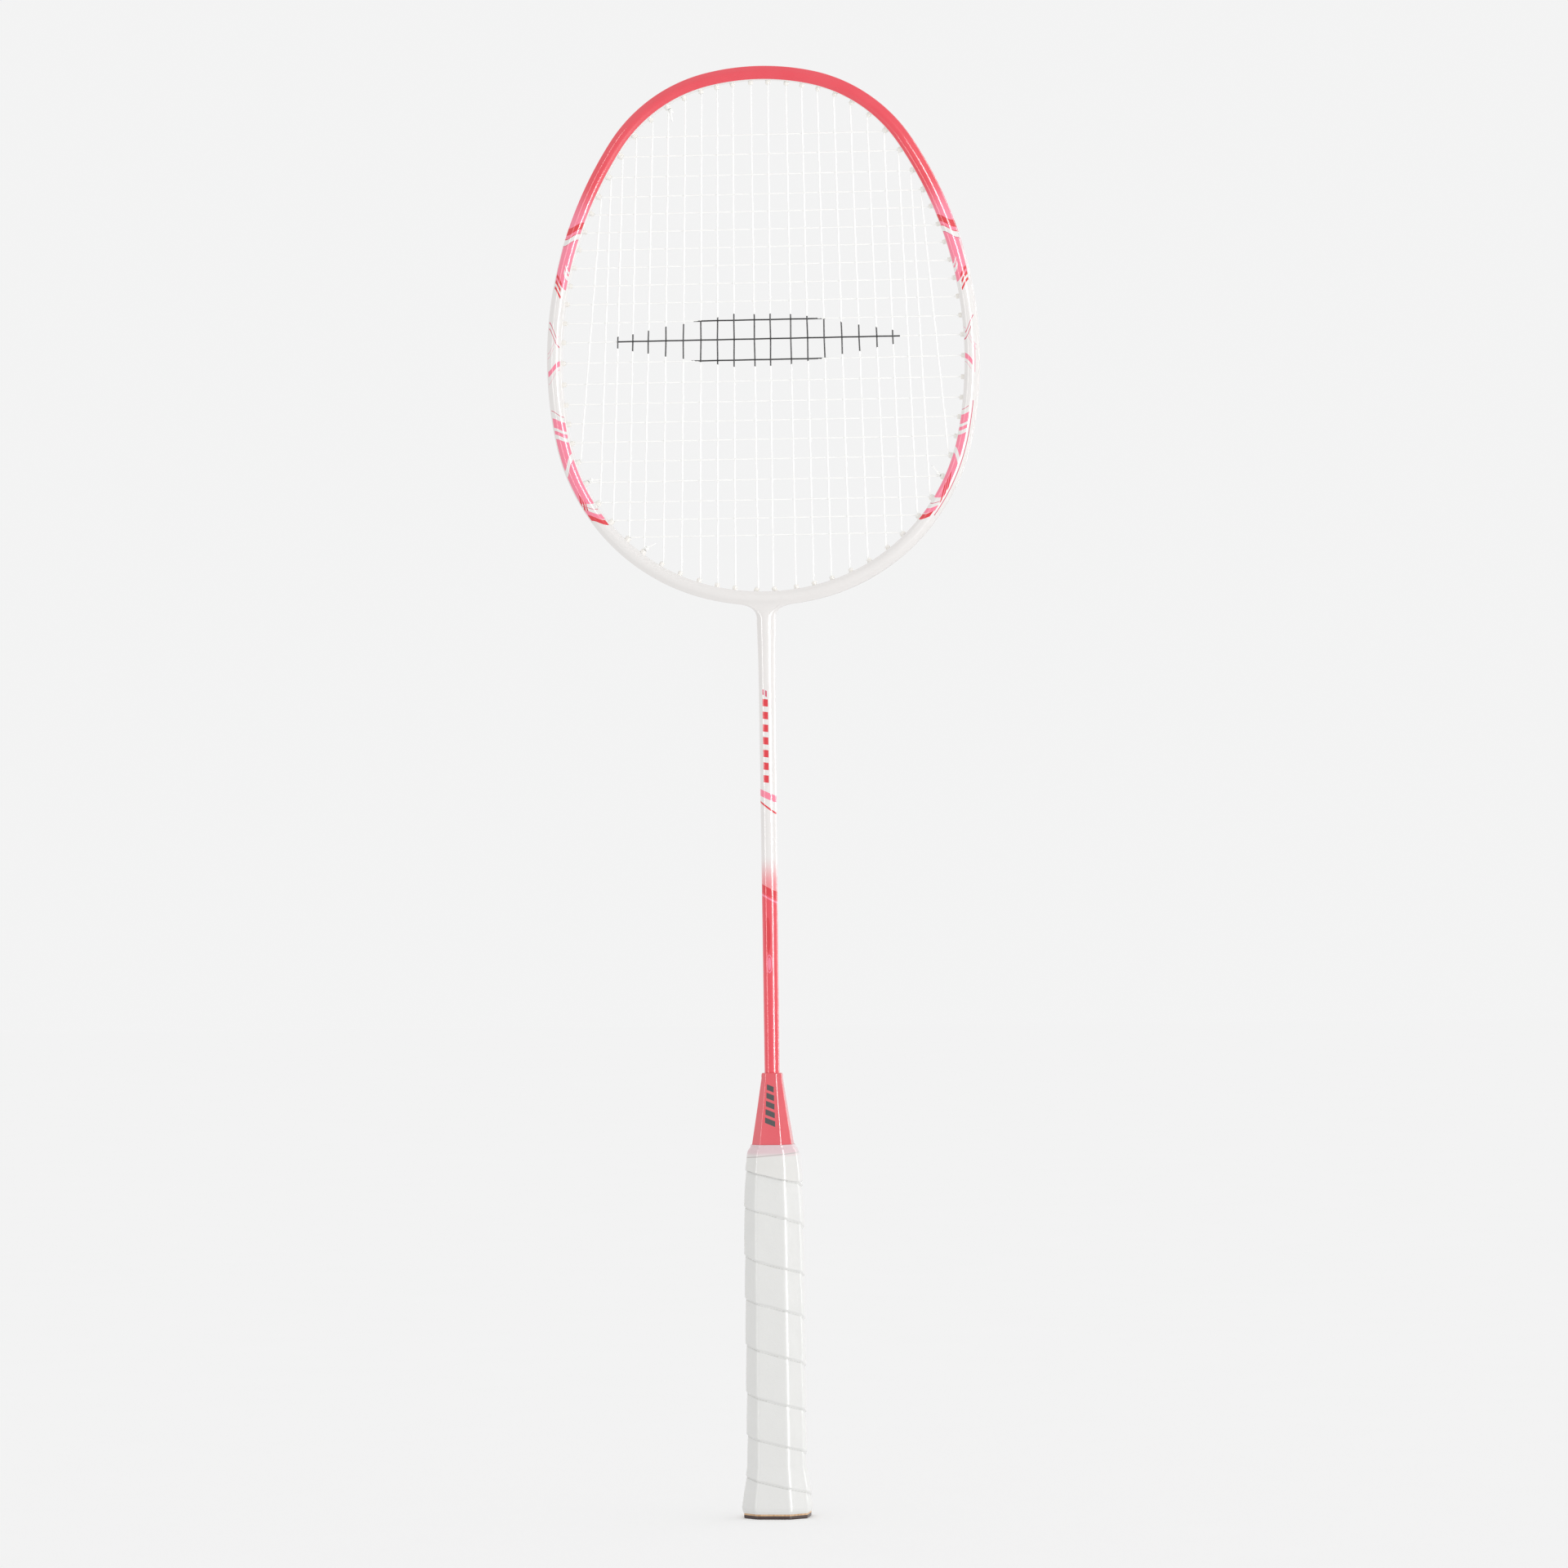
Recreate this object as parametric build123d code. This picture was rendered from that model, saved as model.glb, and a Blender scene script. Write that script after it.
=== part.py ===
"""Badminton racket, upright with its head at the top.

Frame of the part: +Z runs from the butt to the crown of the head, X runs across the head,
Y through it. The origin is the centre of the flat end of the butt. All lengths are in mm.
A place on the hoop is given by the angle that its outline has turned through since the crown
(0 at the crown, 180 at the throat, negative on the left), and by an inset from its outer edge.
"""
from build123d import *
import math
import os

# Hoop outline: radius of its outer edge, and the angle at which that arc ends.
LENGTH = 675.0
THROAT_Z = 424.0
CROWN_R, CROWN_END = 114.0, 12.7
SHOULDER_R, SHOULDER_END = 74.0, 56.5
SIDE_R, SIDE_END = 186.0, 101.5
LOWER_END = 165.8

# Hoop section: radial width, inset and half depth of its ridge, half depths of its two edges.
# The cavity follows it, less the wall times a shrink factor at the ridge and the inner edge.
HOOP_W = 6.6
RIDGE_INSET, RIDGE_HALF = 3.6, 5.2
OUTER_HALF, INNER_HALF = 2.8, 3.1
HOOP_WALL, FLOOR_MARGIN = 1.1, 0.9
EDGE_ROUND, CAVITY_ROUND = 1.1, 0.5
RIDGE_SHRINK, INNER_SHRINK = 1.15, 0.7
GROOVE_DEPTH, GROOVE_HALF = 1.6, 1.6

# Neck, shaft and the T-shaped insert that joins them to the hoop. The neck sinks into the hoop;
# a cutter reaches PAST what it cuts.
NECK_R, NECK_END_R, NECK_END_Z = 4.45, 3.9, 385.0
NECK_WAIST_R, NECK_WAIST_Z = 4.05, 402.0
FLARE_R = 6.0
NECK_SINK = 2.5
SLOT_FROM_X, SLOT_REACH = 5.3, 8.5
SHAFT_R, SHAFT_TAPER_Z, SHAFT_FOOT_Z = 3.5, 210.0, 62.0
SHAFT_BORE_R = 2.6
TEE_ANGLE, TEE_FOOT_Z = 9.0, 350.0
GAP = 0.05
PAST = 1.0

# String pattern: spacing of the mains from the middle out, their fan, and the cross heights.
MAIN_STEPS = [4.4, 9.3, 8.0, 8.1, 8.5, 8.4, 8.5, 7.2, 7.2, 6.2, 8.4]
MAIN_MID_Z = 540.0
MAIN_FAN, EDGE_FAN = 0.00055, 0.0011
CROSS_TOP_Z = 643.5
CROSS_STEPS = [9.1, 8.8, 8.8, 8.4, 8.4, 8.3, 8.4, 8.5, 8.6, 8.9, 9.0]
CROSS_STEPS += [9.8, 9.9, 9.6, 9.0, 9.0, 9.5, 9.3, 9.0, 9.0, 8.7]
NEAR_CROWN, MID_SIDE, NEAR_THROAT = 0.01, 89.0, 179.9
STRING_R = 0.35
WEAVE = 0.79
LANE = 0.4
MERGE_GAP = 3.0
THROAT_EXIT = 176.2
BEND_WOVEN, BEND_MOUTH, BEND_GROOVE = 2.0, 1.2, 0.9
GROOVE_PACE = 6.0
STRAIGHT = 89.8

# Grommets: barrel, bore, flange.
BARREL_R, BORE_R = 1.15, 0.8
DOUBLE_BARREL_R, DOUBLE_BORE_R = 1.4, 1.06
FLANGE_R, FLANGE_T = 1.5, 0.4
RUN_GAP = 0.17
BARREL_PROUD, MOUTH_CLEAR = 1.3, 0.3
SIDE_BY_SIDE = 0.4
FLANGE_GAP = 0.03

# Knots.
KNOT_R, KNOT_LENGTH, KNOT_GAP = 1.05, 1.9, 0.05
TAIL_LENGTH, TAIL_SPREAD = 4.5, 4.0
TIED_CROSS, TIED_UPPER, TIED_LOWER = 18, 5, 6

# Handle: across-flats sizes over X; over Y they are less by FLATTEN.
FLATTEN = 2.2
CORNER = 0.235
CORE_W, CORE_TOP_Z, CORE_BORE_R = 23.0, 158.0, 3.55
CORE_FLARE = [(2.4, 27.8), (6.0, 28.2), (12.0, 26.6), (24.0, 23.2)]
BUTT_W, BUTT_T, RIM_T = 29.8, 1.6, 0.8
BUTT_ROUND, BUTT_EDGE = 1.5, 0.6
TENON_R, TENON_TOP_Z = 7.5, 170.0
BUTT_BORE_R, BUTT_BORE_Z = 6.5, 50.0
PEG_TOP_Z = 20.0
CONE_SECTIONS = [(158.0, 23.2), (173.7, 19.2), (204.6, 10.0), (206.7, 9.0)]
CONE_CAVITY_Z, CONE_TIP_Z = 170.2, 184.0
GRIP_SECTIONS = [(2.4, 30.4), (5.0, 31.8), (12.0, 30.2), (24.0, 26.9)]
GRIP_SECTIONS += [(142.0, 27.0), (160.0, 25.4), (169.0, 23.0)]
TAPE_SECTIONS = [(157.0, 26.3), (160.0, 26.0), (169.0, 23.6), (170.5, 20.9), (175.0, 19.5)]
CORE_ROUND, GRIP_ROUND, TAPE_ROUND = 0.6, 1.6, 1.2


def turn(angle):
    """Unit normal (outward) and heading at a turned angle, as (x, z) pairs."""
    a = math.radians(angle)
    return (math.sin(a), math.cos(a)), (math.cos(a), -math.sin(a))


def outline_arcs():
    """Right half of the outer edge: (radius, from angle, to angle, centre x, centre z).

    The last two radii are the ones that bring the outline back to the middle at the throat.
    """
    radii = [CROWN_R, SHOULDER_R, SIDE_R]
    stops = [0.0, CROWN_END, SHOULDER_END, SIDE_END, LOWER_END, 180.0]
    sines = [math.sin(math.radians(s)) for s in stops]
    cosines = [math.cos(math.radians(s)) for s in stops]
    across = [sines[i + 1] - sines[i] for i in range(5)]
    down = [cosines[i] - cosines[i + 1] for i in range(5)]
    need_x = -sum(r * k for r, k in zip(radii, across))
    need_z = LENGTH - THROAT_Z - sum(r * k for r, k in zip(radii, down))
    det = across[3] * down[4] - across[4] * down[3]
    radii.append((need_x * down[4] - across[4] * need_z) / det)
    radii.append((across[3] * need_z - need_x * down[3]) / det)
    arcs = []
    cx, cz = 0.0, LENGTH - radii[0]
    for i, r in enumerate(radii):
        if i:
            (nx, nz), _ = turn(stops[i])
            cx += (radii[i - 1] - r) * nx
            cz += (radii[i - 1] - r) * nz
        arcs.append((r, stops[i], stops[i + 1], cx, cz))
    return arcs


ARCS = outline_arcs()


def on_hoop(angle, inset, along=0.0):
    """(x, z) of a place on the hoop, moved along the outline by a short distance."""
    size = abs(angle)
    r, _, _, cx, cz = next(a for a in ARCS if size <= a[2])
    (nx, nz), (tx, tz) = turn(size)
    x = cx + (r - inset) * nx + along * tx
    z = cz + (r - inset) * nz + along * tz
    return (math.copysign(x, angle), z)


# ---------------------------------------------------------------- hoop and neck

def hoop_profile(shrink=0.0):
    """Section of the hoop: x is outward from its outer edge, y is depth."""
    rim = [
        (-shrink, OUTER_HALF - shrink),
        (-RIDGE_INSET, RIDGE_HALF - shrink * RIDGE_SHRINK),
        (-HOOP_W + shrink, INNER_HALF - shrink * INNER_SHRINK),
    ]
    points = rim + [(x, -y) for x, y in reversed(rim)]
    face = Polygon(*points, align=None)
    return fillet(face.vertices(), EDGE_ROUND if shrink == 0 else CAVITY_ROUND)


def box_profile(inner, outer, half):
    """Rectangle between two insets; a negative inset stands outside the hoop."""
    return Pos(-(inner + outer) / 2, 0) * Rectangle(abs(inner - outer), 2 * half)


def bend(profile, arc, start, end):
    """Turn a section about one arc's centre, from one angle to another."""
    r, _, _, cx, cz = arc
    axis = Axis((cx, 0, cz), (0, 1, 0))
    plane = Plane(origin=(cx, 0, cz + r), x_dir=(0, 0, 1), z_dir=(-1, 0, 0))
    face = (plane * profile).rotate(axis, start)
    return revolve(face, axis, end - start)


def around(profile, start, end):
    """Run a section round the hoop between two angles on the right, and mirror it."""
    half = []
    for arc in ARCS:
        low, high = max(start, arc[1]), min(end, arc[2])
        if high > low:
            half.append(bend(profile, arc, low, high))
    solid = half[0]
    for piece in half[1:]:
        solid = solid + piece
    return solid + mirror(solid, about=Plane.YZ)


def neck_solid():
    """Neck that flares into the hoop, kept thinner than the hoop through its depth."""
    flare_z = THROAT_Z - FLARE_R
    top_z = THROAT_Z + NECK_SINK
    corner = math.sqrt(0.5) * FLARE_R
    with BuildSketch(Plane.XZ) as half:
        with BuildLine():
            Line((0, NECK_END_Z), (NECK_END_R, NECK_END_Z))
            Line((NECK_END_R, NECK_END_Z), (NECK_WAIST_R, NECK_WAIST_Z))
            Line((NECK_WAIST_R, NECK_WAIST_Z), (NECK_R, flare_z))
            mid = (NECK_R + FLARE_R - corner, flare_z + corner)
            ThreePointArc((NECK_R, flare_z), mid, (NECK_R + FLARE_R, THROAT_Z))
            Line((NECK_R + FLARE_R, THROAT_Z), (NECK_R + FLARE_R, top_z))
            Line((NECK_R + FLARE_R, top_z), (0, top_z))
            Line((0, top_z), (0, NECK_END_Z))
        make_face()
    trumpet = revolve(half.sketch, Axis.Z, 360)
    tall = top_z - NECK_END_Z
    slab = Pos(0, 0, NECK_END_Z + tall / 2) * Box(4 * (NECK_R + FLARE_R), 2 * NECK_R, tall + PAST)
    return trumpet & slab


def rod(start, end, radius):
    """Cylinder between two points."""
    start, end = Vector(*start), Vector(*end)
    plane = Plane(origin=start, z_dir=end - start)
    return plane * Cylinder(radius, (end - start).length, align=(Align.CENTER, Align.CENTER, Align.MIN))


def hole_line(hole, inner, outer):
    """Two points on a hole's axis, at two insets."""
    (x0, z0), (x1, z1) = on_hoop(hole["in"], HOOP_W), on_hoop(hole["out"], GROOVE_DEPTH)
    start, end = Vector(x0, 0, z0), Vector(x1, 0, z1)
    unit = (end - start).normalized()
    reach = (HOOP_W - GROOVE_DEPTH) / (end - start).length
    return start - unit * ((inner - HOOP_W) / reach), end + unit * ((GROOVE_DEPTH - outer) / reach)


def barrel_radius(hole):
    return DOUBLE_BARREL_R if hole["double"] else BARREL_R


def hole_cutters(holes):
    cuts = []
    for hole in holes:
        start, end = hole_line(hole, HOOP_W + PAST, GROOVE_DEPTH - FLANGE_T)
        cuts.append(rod(start, end, barrel_radius(hole) + GAP))
        if hole["out"] != hole["in"]:
            seat, top = hole_line(hole, GROOVE_DEPTH, GROOVE_DEPTH - FLANGE_R)
            cuts.append(rod(seat, top, FLANGE_R + GAP))
    return cuts


def head_frame(holes):
    hoop = around(hoop_profile(), 0, 180)
    cavity = around(hoop_profile(HOOP_WALL), 0, 180)
    groove = around(box_profile(GROOVE_DEPTH, -SLOT_REACH, GROOVE_HALF), 0, 180)
    bridge = Pos(0, 0, THROAT_Z) * Box(2 * SLOT_FROM_X, 4 * GROOVE_HALF, 4 * SLOT_REACH)
    bore = rod((0, 0, NECK_END_Z - PAST), (0, 0, THROAT_Z + HOOP_W / 2), SHAFT_BORE_R)
    floor = around(box_profile(GROOVE_DEPTH + HOOP_WALL, -PAST, GROOVE_HALF + FLOOR_MARGIN), 0, 180)
    body = hoop + neck_solid()
    body = body - (groove - bridge)
    body = body - (cavity - floor)
    body = body - bore
    return body - hole_cutters(holes)


def t_joint(holes):
    """Insert inside the hoop's foot, the neck and the top of the shaft."""
    bar = around(hoop_profile(HOOP_WALL + GAP), 180 - TEE_ANGLE, 180)
    clear = box_profile(GROOVE_DEPTH + HOOP_WALL + GAP, -PAST, GROOVE_HALF + FLOOR_MARGIN + GAP)
    bar = bar - around(clear, 180 - TEE_ANGLE - PAST, 180)
    stem = rod((0, 0, TEE_FOOT_Z), (0, 0, THROAT_Z + HOOP_W / 2), SHAFT_BORE_R - GAP)
    return (bar + stem) - hole_cutters(holes)


def shaft():
    with BuildSketch(Plane.XZ) as half:
        Polygon(
            (SHAFT_BORE_R, SHAFT_FOOT_Z),
            (SHAFT_R, SHAFT_FOOT_Z),
            (SHAFT_R, SHAFT_TAPER_Z),
            (NECK_END_R, NECK_END_Z),
            (SHAFT_BORE_R, NECK_END_Z),
            align=None,
        )
    return revolve(half.sketch, Axis.Z, 360)


# ---------------------------------------------------------------- string pattern

def crossing_angle(miss, low, high):
    """Angle at which a signed miss distance changes sign, by halving."""
    below = miss(low) > 0
    for _ in range(50):
        middle = (low + high) / 2
        if (miss(middle) > 0) == below:
            low = middle
        else:
            high = middle
    return (low + high) / 2


def main_angles():
    """Upper and lower hole angles of the mains on the right, from the middle out."""
    upper, lower = [], []
    offset = 0.0
    for number, step in enumerate(MAIN_STEPS):
        offset += step
        fan = EDGE_FAN if number == len(MAIN_STEPS) - 1 else MAIN_FAN

        def miss(angle):
            x, z = on_hoop(angle, HOOP_W)
            return x - offset * (1 - fan * (z - MAIN_MID_Z))

        upper.append(crossing_angle(miss, NEAR_CROWN, MID_SIDE))
        lower.append(crossing_angle(miss, MID_SIDE, NEAR_THROAT))
    return upper, lower


def cross_angles():
    angles = []
    height = CROSS_TOP_Z
    for step in [0.0] + CROSS_STEPS:
        height -= step

        def miss(angle):
            return on_hoop(angle, HOOP_W)[1] - height

        angles.append(crossing_angle(miss, NEAR_CROWN, NEAR_THROAT))
    return angles


def string_holes():
    """Hole angles for mains and crosses; a main and a cross that nearly meet share one hole."""
    upper, lower = main_angles()
    crosses = cross_angles()
    shared = []
    for mains in (upper, lower):
        for i, angle in enumerate(mains):
            for j, other in enumerate(crosses):
                if math.dist(on_hoop(angle, HOOP_W), on_hoop(other, HOOP_W)) < MERGE_GAP:
                    middle = (angle + other) / 2
                    mains[i] = middle
                    crosses[j] = middle
                    shared.append(middle)
    return upper, lower, crosses, shared


UPPER, LOWER, CROSSES, SHARED = string_holes()
COUNT = len(UPPER)
MAIN_TIE = CROSSES[TIED_CROSS]
START_TIE = -UPPER[TIED_UPPER]
END_TIE = -LOWER[TIED_LOWER]


def make_hole(angle):
    doubles = [s * side for s in SHARED for side in (1, -1)] + [MAIN_TIE, -MAIN_TIE, START_TIE, END_TIE]
    lean = math.copysign(THROAT_EXIT, angle) if abs(angle) == LOWER[0] else angle
    return {"in": angle, "out": lean, "double": angle in doubles}


def all_holes():
    right = sorted(set(UPPER + LOWER + CROSSES))
    return [make_hole(angle * side) for angle in right for side in (1, -1)]


HOLES = {hole["in"]: hole for hole in all_holes()}
MOUTH_INSET = HOOP_W + BARREL_PROUD + MOUTH_CLEAR
RUN_INSET = GROOVE_DEPTH - FLANGE_GAP - FLANGE_T - STRING_R - RUN_GAP


def thread(angle, shift, lane):
    """The two points of a string in a hole: at its mouth and in the groove."""
    mouth, groove = hole_line(HOLES[angle], MOUTH_INSET, RUN_INSET)
    _, (tx, tz) = turn(abs(angle))
    aside = Vector(math.copysign(tx, tx * angle), 0, tz) * shift
    return tuple(mouth + aside), tuple(groove + aside + Vector(0, lane, 0))


def main_thread(angle):
    """Mains lie on the side of a double hole that faces their straight run."""
    toward = SIDE_BY_SIDE if abs(angle) < 90 else -SIDE_BY_SIDE
    return thread(angle, toward if HOLES[angle]["double"] else 0.0, LANE)


def cross_thread(angle):
    toward = -SIDE_BY_SIDE if abs(angle) < 90 else SIDE_BY_SIDE
    return thread(angle, toward if HOLES[angle]["double"] else 0.0, -LANE)


def groove_run(start, end, lane):
    """Points along the groove between two holes, not counting the holes themselves."""
    parts = max(1, round(abs(end - start) / GROOVE_PACE))
    steps = [start + (end - start) * k / parts for k in range(1, parts)]
    return [(on_hoop(a, RUN_INSET)[0], lane, on_hoop(a, RUN_INSET)[1]) for a in steps]


def main_half(side):
    """Half of the main string, from the crown to its knot: (point, bend radius) pairs."""
    path = []
    for i in range(COUNT):
        mouth_up, groove_up = main_thread(side * UPPER[i])
        mouth_low, groove_low = main_thread(side * LOWER[i])
        up = [(groove_up, BEND_GROOVE), (mouth_up, BEND_MOUTH)]
        low = [(mouth_low, BEND_MOUTH), (groove_low, BEND_GROOVE)]
        path += up + low if i % 2 == 0 else (up + low)[::-1]
    mouth, groove = thread(side * MAIN_TIE, -SIDE_BY_SIDE, LANE)
    path += [(groove, BEND_GROOVE), (mouth, 0)]
    return path


def main_path():
    left, right = main_half(-1), main_half(1)
    return left[::-1] + right


def main_x_at(i, side, z):
    """Where a main stands at a height, or None when it doesn't reach that height."""
    (x0, _, z0), (x1, _, z1) = main_thread(side * UPPER[i])[0], main_thread(side * LOWER[i])[0]
    if not z1 < z < z0:
        return None
    return x0 + (x1 - x0) * (z0 - z) / (z0 - z1)


def woven_points(j, start, end):
    """Points where a cross rides over or under each main between its two mouths."""
    (x0, _, z0), (x1, _, z1) = start, end
    points = []
    for side in (-1, 1):
        for i in range(COUNT):
            number = COUNT + i if side > 0 else COUNT - 1 - i
            x = main_x_at(i, side, (z0 + z1) / 2)
            if x is None or abs(x) > min(abs(x0), abs(x1)) - BEND_WOVEN:
                continue
            z = z0 + (z1 - z0) * (x - x0) / (x1 - x0)
            lift = WEAVE if (number + j) % 2 == 0 else -WEAVE
            points.append(((x, lift, z), BEND_WOVEN))
    return sorted(points, key=lambda p: p[0][0], reverse=x1 < x0)


def cross_path():
    """The cross string, from its upper knot to its lower one."""
    mouth, groove = thread(START_TIE, -SIDE_BY_SIDE, -LANE)
    path = [(mouth, 0), (groove, BEND_GROOVE)]
    first = cross_thread(-CROSSES[0])
    path += [(p, BEND_GROOVE) for p in groove_run(START_TIE, -CROSSES[0], -LANE)]
    for j, angle in enumerate(CROSSES):
        side = -1 if j % 2 == 0 else 1
        mouth_in, groove_in = first if j == 0 else cross_thread(side * angle)
        mouth_out, groove_out = cross_thread(-side * angle)
        path += [(groove_in, BEND_GROOVE), (mouth_in, BEND_MOUTH)]
        path += woven_points(j, mouth_in, mouth_out)
        path += [(mouth_out, BEND_MOUTH), (groove_out, BEND_GROOVE)]
    path += [(p, BEND_GROOVE) for p in groove_run(-CROSSES[-1], END_TIE, -LANE)]
    mouth, groove = thread(END_TIE, SIDE_BY_SIDE, -LANE)
    path += [(groove, BEND_GROOVE), (mouth, 0)]
    return path


def rounded_wire(path):
    """Straight runs joined by tangent arcs, through a list of (point, radius) pairs."""
    edges = []
    at = Vector(*path[0][0])
    for (before, _), (corner, radius), (after, _) in zip(path, path[1:], path[2:]):
        corner = Vector(*corner)
        back = (Vector(*before) - corner).normalized()
        on = (Vector(*after) - corner).normalized()
        half = math.radians(back.get_angle(on)) / 2
        if math.degrees(half) > STRAIGHT:
            continue
        pull = radius / math.tan(half)
        middle = (back + on).normalized()
        apex = corner + middle * (radius / math.sin(half) - radius)
        start, end = corner + back * pull, corner + on * pull
        edges.append(Edge.make_line(at, start))
        edges.append(Edge.make_three_point_arc(start, apex, end))
        at = end
    edges.append(Edge.make_line(at, Vector(*path[-1][0])))
    return Wire(edges)


def string(path, name):
    wire = rounded_wire(path)
    plane = Plane(origin=wire.position_at(0), z_dir=wire.tangent_at(0))
    solid = sweep(plane * Circle(STRING_R), path=wire)
    expected = math.pi * STRING_R ** 2 * wire.length
    print(name, "length", round(wire.length), "mm, volume over section times length", round(solid.volume / expected, 4))
    return solid


# ---------------------------------------------------------------- grommets and knots

def grommet(hole):
    """Flanged barrel: the flange lies in the groove, the barrel stands proud inside the hoop."""
    bore_r = DOUBLE_BORE_R if hole["double"] else BORE_R
    floor = GROOVE_DEPTH - FLANGE_GAP
    tip, root = hole_line(hole, HOOP_W + BARREL_PROUD, floor)
    under, top = hole_line(hole, floor, floor - FLANGE_T)
    far_in, far_out = hole_line(hole, HOOP_W + BARREL_PROUD + PAST, floor - FLANGE_T - PAST)
    barrel = rod(tip, root, barrel_radius(hole))
    flange = rod(under, top, FLANGE_R)
    return (barrel + flange) - rod(far_in, far_out, bore_r)


def grommet_groups(holes):
    groups = {"double_grommets": [], "grommets_top": [], "grommets_bottom": []}
    groups.update({"grommets_left": [], "grommets_right": []})
    for hole in holes:
        angle = hole["in"]
        if hole["double"]:
            name = "double_grommets"
        elif abs(angle) in UPPER:
            name = "grommets_top"
        elif abs(angle) in LOWER:
            name = "grommets_bottom"
        else:
            name = "grommets_left" if angle < 0 else "grommets_right"
        groups[name].append(grommet(hole))
    return {name: Compound(children=solids) for name, solids in groups.items()}


def knot(angle, shift, live):
    """Wrapped collar round a tied-off end and the live string beside it, with its clipped tail."""
    x, z = on_hoop(angle, MOUTH_INSET + KNOT_GAP, shift)
    deep_x, deep_z = on_hoop(angle, MOUTH_INSET + KNOT_GAP + KNOT_LENGTH, shift)
    tail_x, tail_z = on_hoop(angle, MOUTH_INSET + KNOT_LENGTH + TAIL_LENGTH, shift * TAIL_SPREAD)
    collar = rod((x, 0, z), (deep_x, 0, deep_z), KNOT_R)
    tail = rod((deep_x, 0, deep_z), (tail_x, 0, tail_z), STRING_R)
    mouth, beyond = Vector(*live[0]), Vector(*live[1])
    heading = (beyond - mouth).normalized()
    return (collar + tail) - rod(mouth - heading * KNOT_LENGTH, beyond, STRING_R + GAP)


def knots():
    """Four knots: two end the main string, two end the cross string."""
    tied = []
    for side in (1, -1):
        near, _ = cross_thread(side * MAIN_TIE)
        far, _ = cross_thread(-side * MAIN_TIE)
        woven = woven_points(TIED_CROSS, near, far)
        tied.append(knot(side * MAIN_TIE, -SIDE_BY_SIDE, (near, woven[0][0])))
    upper, lower = main_thread(START_TIE)[0], main_thread(-LOWER[TIED_UPPER])[0]
    tied.append(knot(START_TIE, -SIDE_BY_SIDE, (upper, lower)))
    upper, lower = main_thread(-UPPER[TIED_LOWER])[0], main_thread(END_TIE)[0]
    tied.append(knot(END_TIE, SIDE_BY_SIDE, (lower, upper)))
    return Compound(children=tied)


# ---------------------------------------------------------------- handle

def octagon(z, width, round_off=0.0):
    depth = width - FLATTEN * min(1.0, (width / CORE_W) ** 3)
    leg = CORNER * width
    half_x, half_y = width / 2, depth / 2
    quarter = [(half_x, half_y - leg), (half_x - leg, half_y)]
    points = quarter + [(-x, y) for x, y in reversed(quarter)]
    points += [(-x, -y) for x, y in points]
    face = Polygon(*points, align=None)
    if round_off:
        face = fillet(face.vertices(), round_off)
    return Pos(0, 0, z) * face


def tapered(sections, round_off=0.0):
    return loft([octagon(z, width, round_off) for z, width in sections], ruled=True)


def pillar(low, high, radius):
    return rod((0, 0, low), (0, 0, high), radius)


def handle_core():
    """Wooden handle: flared butt, bored through, with a tenon for the cone."""
    body = tapered(CORE_FLARE + [(CORE_TOP_Z, CORE_W)], CORE_ROUND)
    rim = extrude(octagon(BUTT_T, BUTT_W, BUTT_ROUND), RIM_T)
    body = body + rim + pillar(CORE_TOP_Z, TENON_TOP_Z, TENON_R)
    body = body - pillar(0, TENON_TOP_Z + PAST, CORE_BORE_R)
    return body - pillar(0, BUTT_BORE_Z, BUTT_BORE_R)


def butt_cap():
    plate = extrude(octagon(0, BUTT_W, BUTT_ROUND), BUTT_T)
    plate = fillet(plate.faces().sort_by(Axis.Z)[0].edges(), BUTT_EDGE)
    return plate + pillar(BUTT_T, PEG_TOP_Z, BUTT_BORE_R - GAP)


def cone():
    body = tapered(CONE_SECTIONS)
    body = body - pillar(0, LENGTH / 2, CORE_BORE_R)
    body = body - pillar(0, CONE_CAVITY_Z, TENON_R + GAP)
    tall = CONE_TIP_Z - CONE_CAVITY_Z
    nose = Pos(0, 0, CONE_CAVITY_Z + tall / 2) * Cone(TENON_R + GAP, CORE_BORE_R, tall)
    return body - nose


def grip_tape():
    wrap = tapered(GRIP_SECTIONS, GRIP_ROUND)
    inside = tapered(CORE_FLARE + [(CORE_TOP_Z, CORE_W)], CORE_ROUND) + tapered(CONE_SECTIONS)
    return wrap - inside


def finishing_tape():
    band = tapered(TAPE_SECTIONS, TAPE_ROUND)
    return band - tapered(GRIP_SECTIONS, GRIP_ROUND) - tapered(CONE_SECTIONS)


def main():
    os.makedirs("parts", exist_ok=True)
    holes = list(HOLES.values())
    nodes = {
        "head_frame": head_frame(holes),
        "t_joint": t_joint(holes),
        "shaft": shaft(),
        "cone": cone(),
        "handle_core": handle_core(),
        "butt_cap": butt_cap(),
        "grip_tape": grip_tape(),
        "finishing_tape": finishing_tape(),
        "tie_off_knots": knots(),
        "main_string": string(main_path(), "main string"),
        "cross_string": string(cross_path(), "cross string"),
    }
    nodes.update(grommet_groups(holes))
    for name, shape in nodes.items():
        export_step(shape, f"parts/{name}.step")
    print(len(holes), "string holes,", sum(h["double"] for h in holes), "of them double")


main()
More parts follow.
